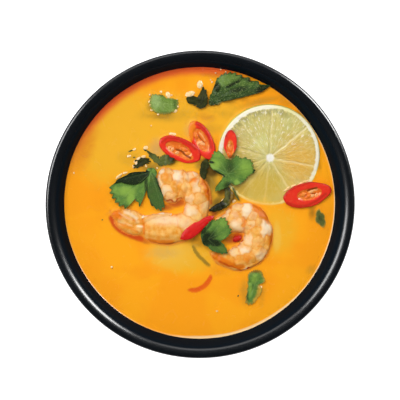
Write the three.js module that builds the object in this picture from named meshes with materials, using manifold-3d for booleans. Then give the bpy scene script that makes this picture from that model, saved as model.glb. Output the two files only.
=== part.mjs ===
// A bowl of tom yum soup with prawns, a lime slice, chilli and herb leaves, as one resting object.
// Millimetres, +Z up. The origin is the middle of the foot ring, on the surface the bowl stands on.
import * as THREE from "three";
import { mergeVertices } from "three/addons/utils/BufferGeometryUtils.js";
import Module from "manifold-3d";

const wasm = await Module();
wasm.setup();

// ---------- driving dimensions ----------
const gap = 0.3; // clearance between pieces that touch
const turnSteps = 48; // flats round the bowl and the soup
const openAbove = 9; // how far the room cut for a flat piece runs on above it

const bowl = {
  outerWall: { reach: 85.9, rise: 107.8, startZ: -3.94, fromDeg: 26.3, toDeg: 67.5, steps: 6 },
  innerWall: { reach: 81.4, rise: 91.9, startZ: 7.5, toDeg: 67, belowSoup: 6, aboveSoup: 2 },
  foot: { inner: 33, outer: 36, chamfer: 1, height: 5.2, recessZ: 2.5 },
  lip: [[79.9, 64.2], [80, 65], [79.5, 65.75], [78.7, 66], [77.2, 66], [76, 65.4]],
};
const soupZ = 55.5; // level of the soup

const lime = {
  at: [35.8, 25.4], radius: 26.6, thickness: 3.8, topZ: 56.4, tiltDeg: 5, lowTowardsDeg: -100,
  core: { at: [36.4, 24.2], radius: 1.8 }, pithWidth: 1.9, rindWidth: 0.8, rindDepth: 0.7,
  membranesDeg: [-59, -11, 40, 88, 128, 163, 197, 232, 263], membraneHalfDeg: 8, cushion: 0.5, steps: 54,
};

const colours = {
  glaze: 0x15191e, broth: 0xf5a020, lime: 0xd3c67b, prawn: 0xf0b483, chilli: 0xdc2f2a,
  herb: 0x5a9339, herbDark: 0x2d4a22,
};

// ---------- small tools ----------
const rad = THREE.MathUtils.degToRad;
const clamp = THREE.MathUtils.clamp;
const up = new THREE.Vector3(0, 0, 1);

// A closed geometry as a solid: vertices merged, slivers dropped, faces outwards
function solidOf(source) {
  const bare = source.clone();
  bare.deleteAttribute("normal");
  bare.deleteAttribute("uv");
  const merged = mergeVertices(bare, 1e-4);
  const corners = [];
  for (let i = 0; i < merged.index.count; i += 3) {
    const [a, b, c] = [0, 1, 2].map((k) => merged.index.getX(i + k));
    if (a !== b && b !== c && c !== a) corners.push(a, b, c);
  }
  const make = (order) => new wasm.Manifold(new wasm.Mesh({
    numProp: 3,
    vertProperties: new Float32Array(merged.attributes.position.array),
    triVerts: new Uint32Array(order),
  }));
  const solid = make(corners);
  return solid.volume() > 0 ? solid : make(corners.reverse());
}

// A solid back as a geometry
function geometryOf(solid) {
  const mesh = solid.getMesh();
  const geometry = new THREE.BufferGeometry();
  geometry.setAttribute("position", new THREE.BufferAttribute(mesh.vertProperties, 3));
  geometry.setIndex(new THREE.BufferAttribute(mesh.triVerts, 1));
  geometry.computeVertexNormals();
  return geometry;
}

// The angle between two directions, from 0 to half a turn
const angleBetween = (a, b) =>
  Math.abs(THREE.MathUtils.euclideanModulo(a - b + Math.PI, 2 * Math.PI) - Math.PI);

const joined = (solids) => solids.reduce((whole, next) => whole.add(next));
const largest = (solid) => solid.decompose().reduce((a, b) => (b.volume() > a.volume() ? b : a));
const cut = (solid, tools) => tools.reduce((rest, tool) => rest.subtract(tool), solid);

// A profile of [radius, height] pairs turned about Z
function turned(profile, steps = turnSteps) {
  const points = profile.map(([r, z]) => new THREE.Vector2(r, z));
  return new THREE.LatheGeometry(points, steps).rotateX(Math.PI / 2);
}

// An ellipse arc of wall from one angle to another, as [radius, height] pairs
function wallArc({ reach, rise, startZ }, fromDeg, toDeg, steps, inset = 0) {
  return Array.from({ length: steps + 1 }, (_, i) => {
    const t = rad(fromDeg + ((toDeg - fromDeg) * i) / steps);
    return [(reach - inset) * Math.sin(t), startZ + inset + (rise - inset) * (1 - Math.cos(t))];
  });
}

// ---------- bowl and soup ----------
const wallAngleAt = (z, inset = 0) => {
  const { rise, startZ } = bowl.innerWall;
  return THREE.MathUtils.radToDeg(Math.acos(1 - (z - startZ - inset) / (rise - inset)));
};

function bowlSolid() {
  const { outerWall, innerWall, foot, lip } = bowl;
  const levelDeg = wallAngleAt(soupZ);
  const inside = [
    ...wallArc(innerWall, 0, levelDeg, innerWall.belowSoup),
    ...wallArc(innerWall, levelDeg, innerWall.toDeg, innerWall.aboveSoup).slice(1),
  ];
  return solidOf(turned([
    [0, foot.recessZ],
    [foot.inner - 2 * foot.chamfer, foot.recessZ],
    [foot.inner, 0],
    [foot.outer, 0],
    [foot.outer + foot.chamfer, foot.chamfer],
    [foot.outer + foot.chamfer, foot.height],
    ...wallArc(outerWall, outerWall.fromDeg, outerWall.toDeg, outerWall.steps),
    ...lip,
    ...inside.reverse(),
  ]));
}

function soupSolid() {
  const steps = bowl.innerWall.belowSoup;
  const side = wallArc(bowl.innerWall, 0, wallAngleAt(soupZ, gap), steps, gap);
  return solidOf(turned([...side, [0, soupZ]]));
}

// ---------- pods: rounded bodies that follow a curve ----------
// half gives the half width and half height at t, from 0 at one end to 1 at the other
function podSolid({ path, half, sides = 10, rings = 14 }, grow = 0) {
  const curve = new THREE.CatmullRomCurve3(path.map((p) => new THREE.Vector3(...p)));
  const geometry = new THREE.SphereGeometry(1, sides, rings);
  const place = geometry.attributes.position;
  const spread = grow / Math.cos(Math.PI / sides);
  for (let i = 0; i < place.count; i++) {
    const t = Math.acos(clamp(place.getY(i), -1, 1)) / Math.PI;
    const round = Math.sin(Math.PI * t);
    const [across, above] = round < 1e-6 ? [0, 0] : [place.getX(i) / round, place.getZ(i) / round];
    const along = curve.getTangentAt(t);
    const sideways = new THREE.Vector3().crossVectors(up, along).normalize();
    const [width, height] = half(t);
    const point = curve.getPointAt(t)
      .addScaledVector(along, (2 * t - 1) * grow)
      .addScaledVector(sideways, across * (width + spread))
      .addScaledVector(up, above * (height + spread));
    place.setXYZ(i, point.x, point.y, point.z);
  }
  return solidOf(geometry);
}

// How full a pod is at t: rounded at both ends, with blunt making the ends squarer
const fullness = (t, blunt) => Math.pow(clamp(1 - Math.pow(Math.abs(2 * t - 1), blunt), 0, 1), 0.5);

// A size that passes evenly through the listed values from t = 0 to 1
function through(values, t) {
  const place = clamp(t, 0, 1) * (values.length - 1);
  const from = Math.min(Math.floor(place), values.length - 2);
  const ease = (1 - Math.cos(Math.PI * (place - from))) / 2;
  return values[from] + (values[from + 1] - values[from]) * ease;
}

// A tail joint narrows the body a little where two of its segments meet
const pinch = { depth: 0.07, sharpness: 8 };
const jointPinch = (t, joints) =>
  1 - pinch.depth * Math.pow(Math.abs(Math.cos(Math.PI * joints * t)), pinch.sharpness);

// ---------- prawns ----------
const prawnZ = 54.2; // middle of the prawn bodies
const flat = (points, z) => points.map(([x, y]) => [x, y, z]);

function fleshPod(points, widths, height, { z = prawnZ, joints = 0, blunt = 5, rings = 14 } = {}) {
  return {
    path: flat(points, z),
    rings,
    half: (t) => {
      const body = fullness(t, blunt) * (joints ? jointPinch(t, joints) : 1);
      return [through(widths, t) * body, through(height, t) * body];
    },
  };
}

const prawns = {
  prawn_left: [
    fleshPod([[-32.6, -12.6], [-24, -13.5], [-13, -13], [-4, -8.6], [-1.4, 0], [-3, 8.4], [-7, 17.4]],
      [5.2, 8.2, 8.2, 7.2, 6.9, 8, 6.6], [4, 5.4, 5.5, 5.4, 5.4, 5.5, 4.6], { joints: 6, rings: 24 }),
    fleshPod([[-19.2, 19.6], [-16.6, 12], [-14.4, 5], [-13.2, 0.2]],
      [3.8, 5.8, 6.4, 5.2], [4, 5, 5.2, 4.4], { rings: 11 }),
    fleshPod([[-13.8, 18.2], [-12.4, 13.4], [-11, 8]], [3, 3.8, 3.2], [3.6, 4.8, 4], { rings: 8 }),
    fleshPod([[-27, -10.2], [-36, -7], [-46.8, -4.8]], [3, 4.4, 3.2], [2.6, 2.4, 1.5],
      { z: 55, rings: 9, blunt: 3 }),
    fleshPod([[-27, -14], [-36, -12], [-45.6, -7.6]], [3.4, 4.1, 2.8], [2.6, 2.2, 1.4],
      { z: 54.8, rings: 9, blunt: 3 }),
  ],
  prawn_right: [
    fleshPod([[4.6, -25], [11, -28.4], [19.6, -28.8], [27.6, -24.2], [30.7, -14], [26.8, -6.2], [19.6, -4],
      [12.4, -5.2]],
      [2.6, 5, 7.4, 8.2, 8, 7, 5.4, 3.8], [3, 4.4, 5.2, 5.5, 5.5, 5.2, 4.8, 3.6],
      { joints: 6, rings: 26 }),
    fleshPod([[6.6, -12], [13.6, -10.2], [20.8, -10.4], [26.4, -13.6]],
      [4.2, 5.2, 5.2, 4.2], [4, 5.2, 5.2, 4.4], { rings: 12 }),
  ],
};

// ---------- chilli ----------
// A slanting slice: an oval ring of flesh with its pale heart sunk below the cut face, and seeds on it
const slices = {
  chilli_slice_left: {
    at: [-11.2, 29.7], z: 56.2, half: [10.8, 5.2], thickness: 3, turnDeg: -23.5, rollDeg: 7, hollow: 0.62,
  },
  chilli_slice_top: {
    at: [1.8, 34.2], z: 56, half: [10.6, 5.2], thickness: 3, turnDeg: -62, rollDeg: 12, hollow: 0.62,
  },
  chilli_slice_lime: {
    at: [15.5, 31.6], z: 59.3, half: [7.4, 3.5], thickness: 2.2, turnDeg: 87, rollDeg: -3, hollow: 0.5,
  },
  chilli_slice_right: {
    at: [56.4, 4.9], z: 57, half: [12.9, 6.5], thickness: 2.8, turnDeg: 13, rollDeg: 4, hollow: 0.5,
  },
};
const heartDepth = 0.8; // of the pale heart below the cut face
const sliceSteps = 18; // flats round a slice
const sliceBevel = 0.07; // of the outer edge of the cut face, as a share of the half size
const hollowBevel = 0.06; // of the inner edge of the cut face
const seed = {
  half: [1.3, 0.9, 0.55], perSlice: 4, reachLong: 0.56, reachShort: 0.3, lift: 0.15, turnEach: 2.1,
};

function placed(geometry, { at, z, turnDeg = 0, rollDeg = 0 }) {
  return geometry.rotateX(rad(rollDeg)).rotateZ(rad(turnDeg)).translate(at[0], at[1], z);
}

function sliceSolid(slice) {
  const { half: [long, short], hollow } = slice;
  const h = slice.thickness / 2;
  const heartZ = h - heartDepth;
  const ring = turned([
    [0, -h], [1 - sliceBevel, -h], [1, -h / 2], [1, h / 2], [1 - sliceBevel, h], [hollow + hollowBevel, h],
    [hollow, heartZ], [0, heartZ],
  ], sliceSteps).scale(long, short, 1);
  const seeds = Array.from({ length: seed.perSlice }, (_, i) => {
    const along = (2 * i) / (seed.perSlice - 1) - 1;
    const aside = i % 2 ? 1 : -1;
    const geometry = new THREE.SphereGeometry(1, 5, 3).scale(...seed.half).rotateZ(seed.turnEach * i);
    return geometry.translate(
      along * seed.reachLong * hollow * long,
      aside * seed.reachShort * hollow * short,
      heartZ + seed.lift,
    );
  });
  return joined([ring, ...seeds].map((piece) => solidOf(placed(piece, slice))));
}

// The room a slice needs, open upwards
const sliceSpread = 1.6 * gap; // the side clearance, with some over for the tilt
function sliceRoom(slice) {
  const { half: [long, short] } = slice;
  const h = slice.thickness / 2 + gap;
  const room = turned([[0, -h], [1, -h], [1, openAbove], [0, openAbove]], sliceSteps);
  return solidOf(placed(room.scale(long + sliceSpread, short + sliceSpread, 1), slice));
}

// A curved piece of chilli wall, skin up, that lies across both prawns
const chilliStrip = {
  path: [[-10.8, -18, 59.2], [-6.8, -15.5, 60], [-1.8, -11.8, 59.6], [3.2, -8.4, 58.7], [7.5, -5.8, 58.3]],
  half: (t) => [through([2.3, 3.3, 3.1, 2.4, 2], t) * fullness(t, 3), 0.85 * fullness(t, 5)],
  sides: 10,
  rings: 12,
};

// The scrap of chilli in the eye of the curled prawn
const chilliScrap = {
  path: [[17.6, -19.4, 56.2], [19.4, -18, 56.7], [21.4, -17.9, 56.5]],
  half: (t) => [1.1 * fullness(t, 3), 0.5 * fullness(t, 3)],
  sides: 8,
  rings: 6,
};

// ---------- lime slice ----------
// The cut face swells between its membranes, which run from the core to the white pith
function limeSolid() {
  const { core, radius, thickness, steps, cushion, rindWidth, rindDepth } = lime;
  const centre = [core.at[0] - lime.at[0], core.at[1] - lime.at[1]];
  const flesh = 1 - lime.pithWidth / radius;
  // From the core out: how far out each ring of corners lies, and its share of the cushion's height
  const rings = [0, core.radius / radius, flesh / 2, 0.97 * flesh, flesh, 1];
  const bulge = [0, 0, 1, 0.8, 0, -0.6];
  const place = [];
  const index = [];
  const corner = (ring, step) => (ring === 0 ? 0 : 1 + (ring - 1) * steps + (step % steps));
  for (let ring = 0; ring < rings.length; ring++) {
    for (let step = 0; step < (ring ? steps : 1); step++) {
      const turn = (2 * Math.PI * step) / steps;
      const fromMembrane = Math.min(...lime.membranesDeg.map((deg) => angleBetween(turn, rad(deg))));
      const swell = bulge[ring] > 0 ? clamp(fromMembrane / rad(lime.membraneHalfDeg), 0, 1) : 1;
      const hold = 1 - rings[ring];
      place.push(
        centre[0] * hold + radius * rings[ring] * Math.cos(turn),
        centre[1] * hold + radius * rings[ring] * Math.sin(turn),
        bulge[ring] * cushion * swell,
      );
    }
  }
  const topCount = place.length / 3;
  for (const [shrink, z] of [[0, -rindDepth * thickness], [rindWidth, -thickness]]) {
    for (let step = 0; step < steps; step++) {
      const turn = (2 * Math.PI * step) / steps;
      place.push((radius - shrink) * Math.cos(turn), (radius - shrink) * Math.sin(turn), z);
    }
  }
  place.push(0, 0, -thickness);
  const sideCorner = (row, step) => topCount + row * steps + (step % steps);
  const bottom = topCount + 2 * steps;
  const quad = (a, b, c, d) => index.push(a, b, c, a, c, d);
  for (let step = 0; step < steps; step++) {
    index.push(0, corner(1, step), corner(1, step + 1));
    for (let ring = 1; ring < rings.length - 1; ring++) {
      quad(corner(ring, step), corner(ring + 1, step), corner(ring + 1, step + 1), corner(ring, step + 1));
    }
    const rim = rings.length - 1;
    quad(corner(rim, step), sideCorner(0, step), sideCorner(0, step + 1), corner(rim, step + 1));
    quad(sideCorner(0, step), sideCorner(1, step), sideCorner(1, step + 1), sideCorner(0, step + 1));
    index.push(bottom, sideCorner(1, step + 1), sideCorner(1, step));
  }
  const geometry = new THREE.BufferGeometry();
  geometry.setAttribute("position", new THREE.Float32BufferAttribute(place, 3));
  geometry.setIndex(index);
  return solidOf(tilted(geometry));
}

function tilted(geometry) {
  const low = rad(lime.lowTowardsDeg);
  const hinge = new THREE.Vector3(-Math.sin(low), Math.cos(low), 0);
  const turn = new THREE.Matrix4().makeRotationAxis(hinge, rad(lime.tiltDeg));
  return geometry.applyMatrix4(turn).translate(lime.at[0], lime.at[1], lime.topZ);
}

function limeRoom() {
  const [reach, low] = [lime.radius + gap, -lime.thickness - gap];
  return solidOf(tilted(turned([[0, low], [reach, low], [reach, openAbove], [0, openAbove]], lime.steps)));
}

// ---------- leaves ----------
// A leaf is a thin sheet round the point where its lobes meet. Its outline lists the tips and notches
// as [direction, reach], in degrees and millimetres. rise lifts the sheet along X and Y, and ripple
// waves its edge.
const leafThickness = 0.6;
const leaves = {
  leaf_left: {
    at: [-25.6, 17.1], z: 57.5, rise: [0.02, -0.05], ripple: 0.4, waves: 5,
    outline: [[70, 2.2], [176, 2.6], [180, 9.5], [187, 13.4], [194, 18.8], [201, 22.9], [211, 23.8],
      [225, 24], [236, 22.4], [240, 15.8], [252, 19.2], [256, 9.6], [272, 17.8], [283, 20.6], [291, 19.4],
      [297, 14], [301, 7.5], [318, 3.4]],
  },
  leaf_dark_left: {
    at: [-30.4, 22.3], z: 56.4, rise: [0.02, 0.02], ripple: 0.2, waves: 3, dark: true,
    outline: [[5, 4.6], [43, 3.1], [127, 2], [195, 4.1], [228, 4.9], [244, 2.6], [323, 1.8]],
  },
  leaf_by_chilli: {
    at: [-20.5, 21.9], z: 56.3, rise: [0.02, 0], ripple: 0.15, waves: 4,
    outline: [[0, 6.4], [22, 7], [40, 5.4], [62, 4.6], [81, 3.6], [109, 2.1], [127, 5.5], [137, 10],
      [150, 7.2], [162, 4.3], [194, 1.6], [319, 1.9], [348, 4.2]],
  },
  leaf_on_lime: {
    at: [14.3, 16.1], z: 58.9, rise: [0, 0.02], ripple: 0.4, waves: 5,
    outline: [[5, 14.4], [16, 13.4], [27, 14.2], [45, 12.2], [50, 10.4], [65, 10.8], [76, 7.4], [96, 7.8],
      [109, 12.6], [121, 13.7], [136, 12.1], [148, 11.8], [160, 9.3], [171, 6.2], [186, 3.1], [209, 2.5],
      [224, 4.8], [227, 10], [234, 11.1], [254, 8], [290, 5], [300, 7], [313, 7.7], [353, 10.5]],
  },
  leaf_slip_dark: {
    at: [1.9, 18.1], z: 56.6, rise: [0, 0.02], ripple: 0.15, waves: 2, dark: true,
    outline: [[8, 1.6], [59, 4.8], [77, 5.8], [143, 2], [200, 2.2], [240, 3.6], [273, 5.4], [300, 2.6]],
  },
  leaf_on_prawn: {
    at: [3.9, -17.7], z: 60.4, rise: [0.015, 0.015], ripple: 0.22, waves: 4,
    outline: [[13, 11.9], [21, 13.1], [32, 12.7], [42, 13.5], [52, 14.2], [60, 12.9], [66, 10.8],
      [79, 10.2], [94, 7.3], [121, 5.7], [155, 4.1], [186, 3.3], [269, 4], [302, 8.2], [314, 10.9],
      [325, 12.9], [339, 9.4], [350, 6.5]],
  },
  leaf_long_top: {
    at: [6.6, 54], z: 56.8, rise: [0, 0.03], ripple: 0.4, waves: 8,
    outline: [[3, 10.3], [7, 15.9], [10, 27], [14, 30.3], [19, 26.4], [26, 23.6], [33, 21.4], [43, 19.1],
      [56, 17.6], [69, 14.9], [80, 11.5], [87, 6.7], [101, 3.9], [149, 1.6], [233, 2.8], [298, 2.3],
      [353, 4.8]],
  },
  leaf_dark_top: {
    at: [0.6, 53.5], z: 57.2, rise: [0, 0.03], ripple: 0.25, waves: 3, dark: true,
    outline: [[0, 3], [40, 3.8], [69, 6.5], [83, 7.6], [92, 6.1], [103, 4.4], [129, 2.7], [144, 4.8],
      [159, 6.9], [169, 7.7], [186, 7.2], [201, 4.2], [248, 3.6], [285, 3.4], [323, 3.4]],
  },
  leaf_top_left: {
    at: [-19.3, 52.5], z: 56.2, rise: [0, 0], ripple: 0.2, waves: 5,
    outline: [[15, 8], [28, 5.4], [56, 3.1], [90, 4.3], [119, 5.3], [140, 7.4], [173, 6.9], [199, 6.6],
      [225, 6.1], [261, 5.4], [296, 5.8], [320, 6.7], [345, 8]],
  },
  leaf_bottom: {
    at: [28.6, -42.6], z: 56.3, rise: [0, 0], ripple: 0.25, waves: 6,
    outline: [[2, 2], [18, 5.8], [46, 6.4], [65, 8.1], [85, 7.9], [121, 6.5], [145, 4.1], [193, 3.4],
      [227, 5.6], [235, 8.2], [244, 10.7], [255, 11.1], [267, 10], [284, 7.2], [307, 5.8], [328, 4.6]],
  },
  leaf_tiny_right: {
    at: [63, -7.5], z: 56.1, rise: [0, 0], ripple: 0.1, waves: 2, dark: true,
    outline: [[84, 3.1], [96, 5.3], [158, 2.5], [262, 3.5], [288, 5.6], [348, 2.2]],
  },
};
const widestStepDeg = 14; // between two corners of a leaf's edge

// The corners of a leaf's edge: its tips and notches, with even steps between them
function leafEdge({ outline }) {
  return outline.flatMap(([deg, reach], i) => {
    const [nextDeg, nextReach] = outline[(i + 1) % outline.length];
    const span = THREE.MathUtils.euclideanModulo(nextDeg - deg, 360);
    const steps = Math.ceil(span / widestStepDeg);
    return Array.from({ length: steps }, (_, k) => {
      const part = k / steps;
      return [rad(deg + span * part), reach + (nextReach - reach) * part];
    });
  });
}

function leafSolid(leaf) {
  const place = [];
  const index = [];
  const { at, z, rise, ripple, waves } = leaf;
  const edge = leafEdge(leaf);
  const steps = edge.length;
  const rings = [0.5, 1];
  for (const side of [1, -1]) {
    place.push(...at, z + (side * leafThickness) / 2);
    for (const part of rings) {
      for (const [turn, reach] of edge) {
        const [dx, dy] = [reach * part * Math.cos(turn), reach * part * Math.sin(turn)];
        const wave = ripple * part * part * Math.sin(waves * turn);
        place.push(at[0] + dx, at[1] + dy,
          z + rise[0] * dx + rise[1] * dy + wave + (side * leafThickness) / 2);
      }
    }
  }
  const perSide = 1 + rings.length * steps;
  const corner = (side, ring, step) => side * perSide + 1 + ring * steps + (step % steps);
  for (let step = 0; step < steps; step++) {
    index.push(0, corner(0, 0, step), corner(0, 0, step + 1));
    index.push(perSide, corner(1, 0, step + 1), corner(1, 0, step));
    for (let ring = 1; ring < rings.length; ring++) {
      const [a, b] = [corner(0, ring - 1, step), corner(0, ring - 1, step + 1)];
      const [c, d] = [corner(0, ring, step + 1), corner(0, ring, step)];
      index.push(a, d, c, a, c, b);
      index.push(a + perSide, c + perSide, d + perSide, a + perSide, b + perSide, c + perSide);
    }
    const last = rings.length - 1;
    const [a, b] = [corner(0, last, step), corner(0, last, step + 1)];
    index.push(a, a + perSide, b + perSide, a, b + perSide, b);
  }
  const geometry = new THREE.BufferGeometry();
  geometry.setAttribute("position", new THREE.Float32BufferAttribute(place, 3));
  geometry.setIndex(index);
  return solidOf(geometry);
}

// Stems and the twisted dark blade between the prawns
const strips = {
  stem_on_lime: {
    path: [[16.6, 9.6, 57.8], [18.4, 5.6, 57.6], [20.6, 1.6, 57.2]],
    half: (t) => [0.55 * fullness(t, 6), 0.55 * fullness(t, 6)],
    sides: 6,
    rings: 8,
  },
  blade_dark: {
    path: [[14, 8.6, 57], [16, 3.4, 57.6], [13.4, -0.6, 58.6], [9.6, -2.4, 59.4], [5.8, -4, 58.6]],
    half: (t) => [through([1.2, 1.9, 1.7, 1.6, 1], t) * fullness(t, 4), 0.5],
    sides: 8,
    rings: 14,
    dark: true,
  },
};

// ---------- the object ----------
const scene = new THREE.Group();

function addNode(name, solid, colour, roughness = 0.35) {
  const material = new THREE.MeshStandardMaterial({ color: colour, roughness, metalness: 0 });
  const mesh = new THREE.Mesh(geometryOf(solid), material);
  mesh.name = name;
  scene.add(mesh);
}

const prawnRoom = Object.values(prawns).flat().map((pod) => podSolid(pod, gap));
const roomInSoup = [...prawnRoom, limeRoom(), ...Object.values(slices).map(sliceRoom)];

addNode("bowl", bowlSolid(), colours.glaze, 0.2);
addNode("soup", largest(cut(soupSolid(), roomInSoup)), colours.broth, 0.2);
addNode("lime_slice", limeSolid(), colours.lime, 0.3);
for (const [name, pods] of Object.entries(prawns)) {
  addNode(name, joined(pods.map((pod) => podSolid(pod))), colours.prawn);
}
for (const [name, slice] of Object.entries(slices)) {
  addNode(name, sliceSolid(slice), colours.chilli, 0.15);
}
addNode("chilli_strip", cut(podSolid(chilliStrip), prawnRoom), colours.chilli, 0.15);
addNode("chilli_scrap", cut(podSolid(chilliScrap), prawnRoom), colours.chilli, 0.15);
for (const [name, leaf] of Object.entries(leaves)) {
  addNode(name, leafSolid(leaf), leaf.dark ? colours.herbDark : colours.herb, 0.4);
}
for (const [name, strip] of Object.entries(strips)) {
  addNode(name, podSolid(strip), strip.dark ? colours.herbDark : colours.herb, 0.4);
}

export default scene;
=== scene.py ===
import math

import bmesh
import bpy
from mathutils import Matrix, Vector, noise
from mathutils.bvhtree import BVHTree


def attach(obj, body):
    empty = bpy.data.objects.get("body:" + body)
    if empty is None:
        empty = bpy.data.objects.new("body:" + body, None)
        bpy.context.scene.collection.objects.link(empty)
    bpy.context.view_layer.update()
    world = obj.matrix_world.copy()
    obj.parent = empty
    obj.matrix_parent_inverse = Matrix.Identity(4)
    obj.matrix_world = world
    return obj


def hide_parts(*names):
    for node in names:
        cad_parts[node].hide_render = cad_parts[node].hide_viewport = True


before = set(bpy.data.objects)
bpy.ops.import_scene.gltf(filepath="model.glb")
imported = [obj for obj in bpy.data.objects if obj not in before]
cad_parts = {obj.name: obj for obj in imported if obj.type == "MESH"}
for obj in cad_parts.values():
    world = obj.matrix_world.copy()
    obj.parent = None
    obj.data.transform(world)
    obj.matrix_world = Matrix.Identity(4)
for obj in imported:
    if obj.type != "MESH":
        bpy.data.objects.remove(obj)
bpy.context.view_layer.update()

# A bowl of tom yum soup with prawns, a lime slice, chilli and herb leaves.
# Sizes and places are in millimetres, and become Blender's metres through mm.
mm = 0.001
soupLevel = 55.5


# selection, primitives and modifiers
def deselectAll():
    if bpy.context.mode != "OBJECT":
        bpy.ops.object.mode_set(mode="OBJECT")
    bpy.ops.object.select_all(action="DESELECT")


def makeActive(*pieces):
    deselectAll()
    for piece in pieces:
        piece.select_set(True)
    bpy.context.view_layer.objects.active = pieces[0]


def newest(name):
    piece = bpy.context.object
    piece.name = name
    piece.data.name = name
    return piece


def settle(piece, place=Matrix()):
    makeActive(piece)
    piece.matrix_world = place @ piece.matrix_world
    bpy.ops.object.transform_apply(location=True, rotation=True, scale=True)


def withModifier(piece, kind, **settings):
    makeActive(piece)
    bpy.ops.object.modifier_add(type=kind)
    modifier = piece.modifiers[-1]
    for name, value in settings.items():
        setattr(modifier, name, value)
    bpy.ops.object.modifier_apply(modifier=modifier.name)


def join(name, parts):
    makeActive(*parts)
    if len(parts) > 1:
        bpy.ops.object.join()
    return newest(name)


def editAll():
    bpy.ops.object.mode_set(mode="EDIT")
    bpy.ops.mesh.select_all(action="SELECT")


def clean(piece, smoothDeg=60):
    makeActive(piece)
    editAll()
    bpy.ops.mesh.remove_doubles(threshold=0.004 * mm)
    bpy.ops.mesh.normals_make_consistent(inside=False)
    bpy.ops.object.mode_set(mode="OBJECT")
    bpy.ops.object.shade_smooth_by_angle(angle=math.radians(smoothDeg))


def copyOf(nodeName, name):
    piece = bpy.data.objects.new(name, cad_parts[nodeName].data.copy())
    bpy.context.scene.collection.objects.link(piece)
    piece.data.materials.clear()
    makeActive(piece)
    editAll()
    bpy.ops.mesh.remove_doubles(threshold=0.002 * mm)
    bpy.ops.object.mode_set(mode="OBJECT")
    return piece


# A smooth lump of a half size and a turn
def blob(place, half, turnDeg=0):
    bpy.ops.mesh.primitive_uv_sphere_add(segments=18, ring_count=12, radius=mm)
    lump = newest("lump")
    turn = Matrix.Rotation(math.radians(turnDeg), 4, "Z")
    settle(lump, Matrix.Translation(Vector(place) * mm) @ turn @ Matrix.Diagonal((*half, 1)))
    return lump


# Draws the selected ring or cap out through more rings of [radius, height], round a middle
def drawRings(radius, height, others, middle=(0, 0)):
    for nextRadius, nextHeight in others:
        rise = (0, 0, (nextHeight - height) * mm)
        bpy.ops.mesh.extrude_region_move(TRANSFORM_OT_translate={"value": rise})
        factor = nextRadius / radius
        centre = (middle[0] * mm, middle[1] * mm, nextHeight * mm)
        bpy.ops.transform.resize(value=(factor, factor, 1), center_override=centre)
        radius, height = nextRadius, nextHeight


# A closed body drawn out of a disc, ring by ring, to a pole. The inner rings may have another middle.
def ringBody(name, profile, segments, inner=(), middle=(0, 0)):
    (radius, height), *others = profile
    bpy.ops.mesh.primitive_circle_add(
        vertices=segments, radius=radius * mm, fill_type="NGON", location=(0, 0, height * mm))
    body = newest(name)
    settle(body)
    editAll()
    drawRings(radius, height, others)
    drawRings(*others[-1], inner, middle)
    bpy.ops.mesh.merge(type="CENTER")
    bpy.ops.object.mode_set(mode="OBJECT")
    return body


# Rounds a copy of a faceted solid
def soften(piece, voxel, rounds):
    withModifier(piece, "REMESH", mode="VOXEL", voxel_size=voxel * mm)
    withModifier(piece, "SMOOTH", factor=0.5, iterations=rounds)


# Moves every corner of a mesh and paints it: shape gives the new place and a value for each name
def carve(piece, names, shape):
    for name in names:
        piece.data.attributes.new(name, "FLOAT", "POINT")
    layers = [piece.data.attributes[name] for name in names]
    before = [(vertex.co / mm, vertex.normal.copy()) for vertex in piece.data.vertices]
    for vertex, (rest, normal) in zip(piece.data.vertices, before):
        place, *values = shape(rest, normal)
        vertex.co = place * mm
        for layer, value in zip(layers, values):
            layer.data[vertex.index].value = value
    piece.data.update()


# small sums that the shapes share
def smooth(value, low, high):
    part = min(max((value - low) / (high - low), 0), 1)
    return part * part * (3 - 2 * part)


def bumps(place, size, seed=0):
    return noise.noise(place / size + Vector((seed, -seed, 2.7 * seed)))


# From 0 up to 1 over the first two limits, and down to 0 again over the last two
def between(value, rise, full, ebb, end):
    return smooth(value, rise, full) * (1 - smooth(value, ebb, end))


def turnedBy(x, y, deg):
    angle = math.radians(deg)
    return x * math.cos(angle) + y * math.sin(angle), y * math.cos(angle) - x * math.sin(angle)


def awayFromLine(x, y, line):
    best = 1e9
    for (ax, ay), (bx, by) in zip(line, line[1:]):
        runX, runY = bx - ax, by - ay
        part = ((x - ax) * runX + (y - ay) * runY) / (runX * runX + runY * runY)
        part = min(max(part, 0), 1)
        best = min(best, math.hypot(x - ax - part * runX, y - ay - part * runY))
    return best


# A piece's marks are listed under the colour they bring. A mark is a dab, with its middle and half size,
# or a stroke, with its line and half width. It is strong in its middle and fades over its soft edge, and
# its lift raises the surface.
def dab(at, half, strength=1, soft=0.45, turnDeg=0, lift=0):
    return {"at": at, "half": half, "strength": strength, "soft": soft, "turnDeg": turnDeg, "lift": lift}


def stroke(line, wide, strength=1, soft=0.45, lift=0):
    return {"line": line, "wide": wide, "strength": strength, "soft": soft, "lift": lift}


def markAt(mark, x, y):
    if "line" in mark:
        away = awayFromLine(x, y, mark["line"]) / mark["wide"]
    else:
        along, across = turnedBy(x - mark["at"][0], y - mark["at"][1], mark["turnDeg"])
        away = math.hypot(along / mark["half"][0], across / mark["half"][1])
    return mark["strength"] * (1 - smooth(away, 1 - mark["soft"], 1 + mark["soft"]))


def marksAt(marks, kind, x, y):
    return max((markAt(mark, x, y) for mark in marks.get(kind, [])), default=0)


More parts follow.
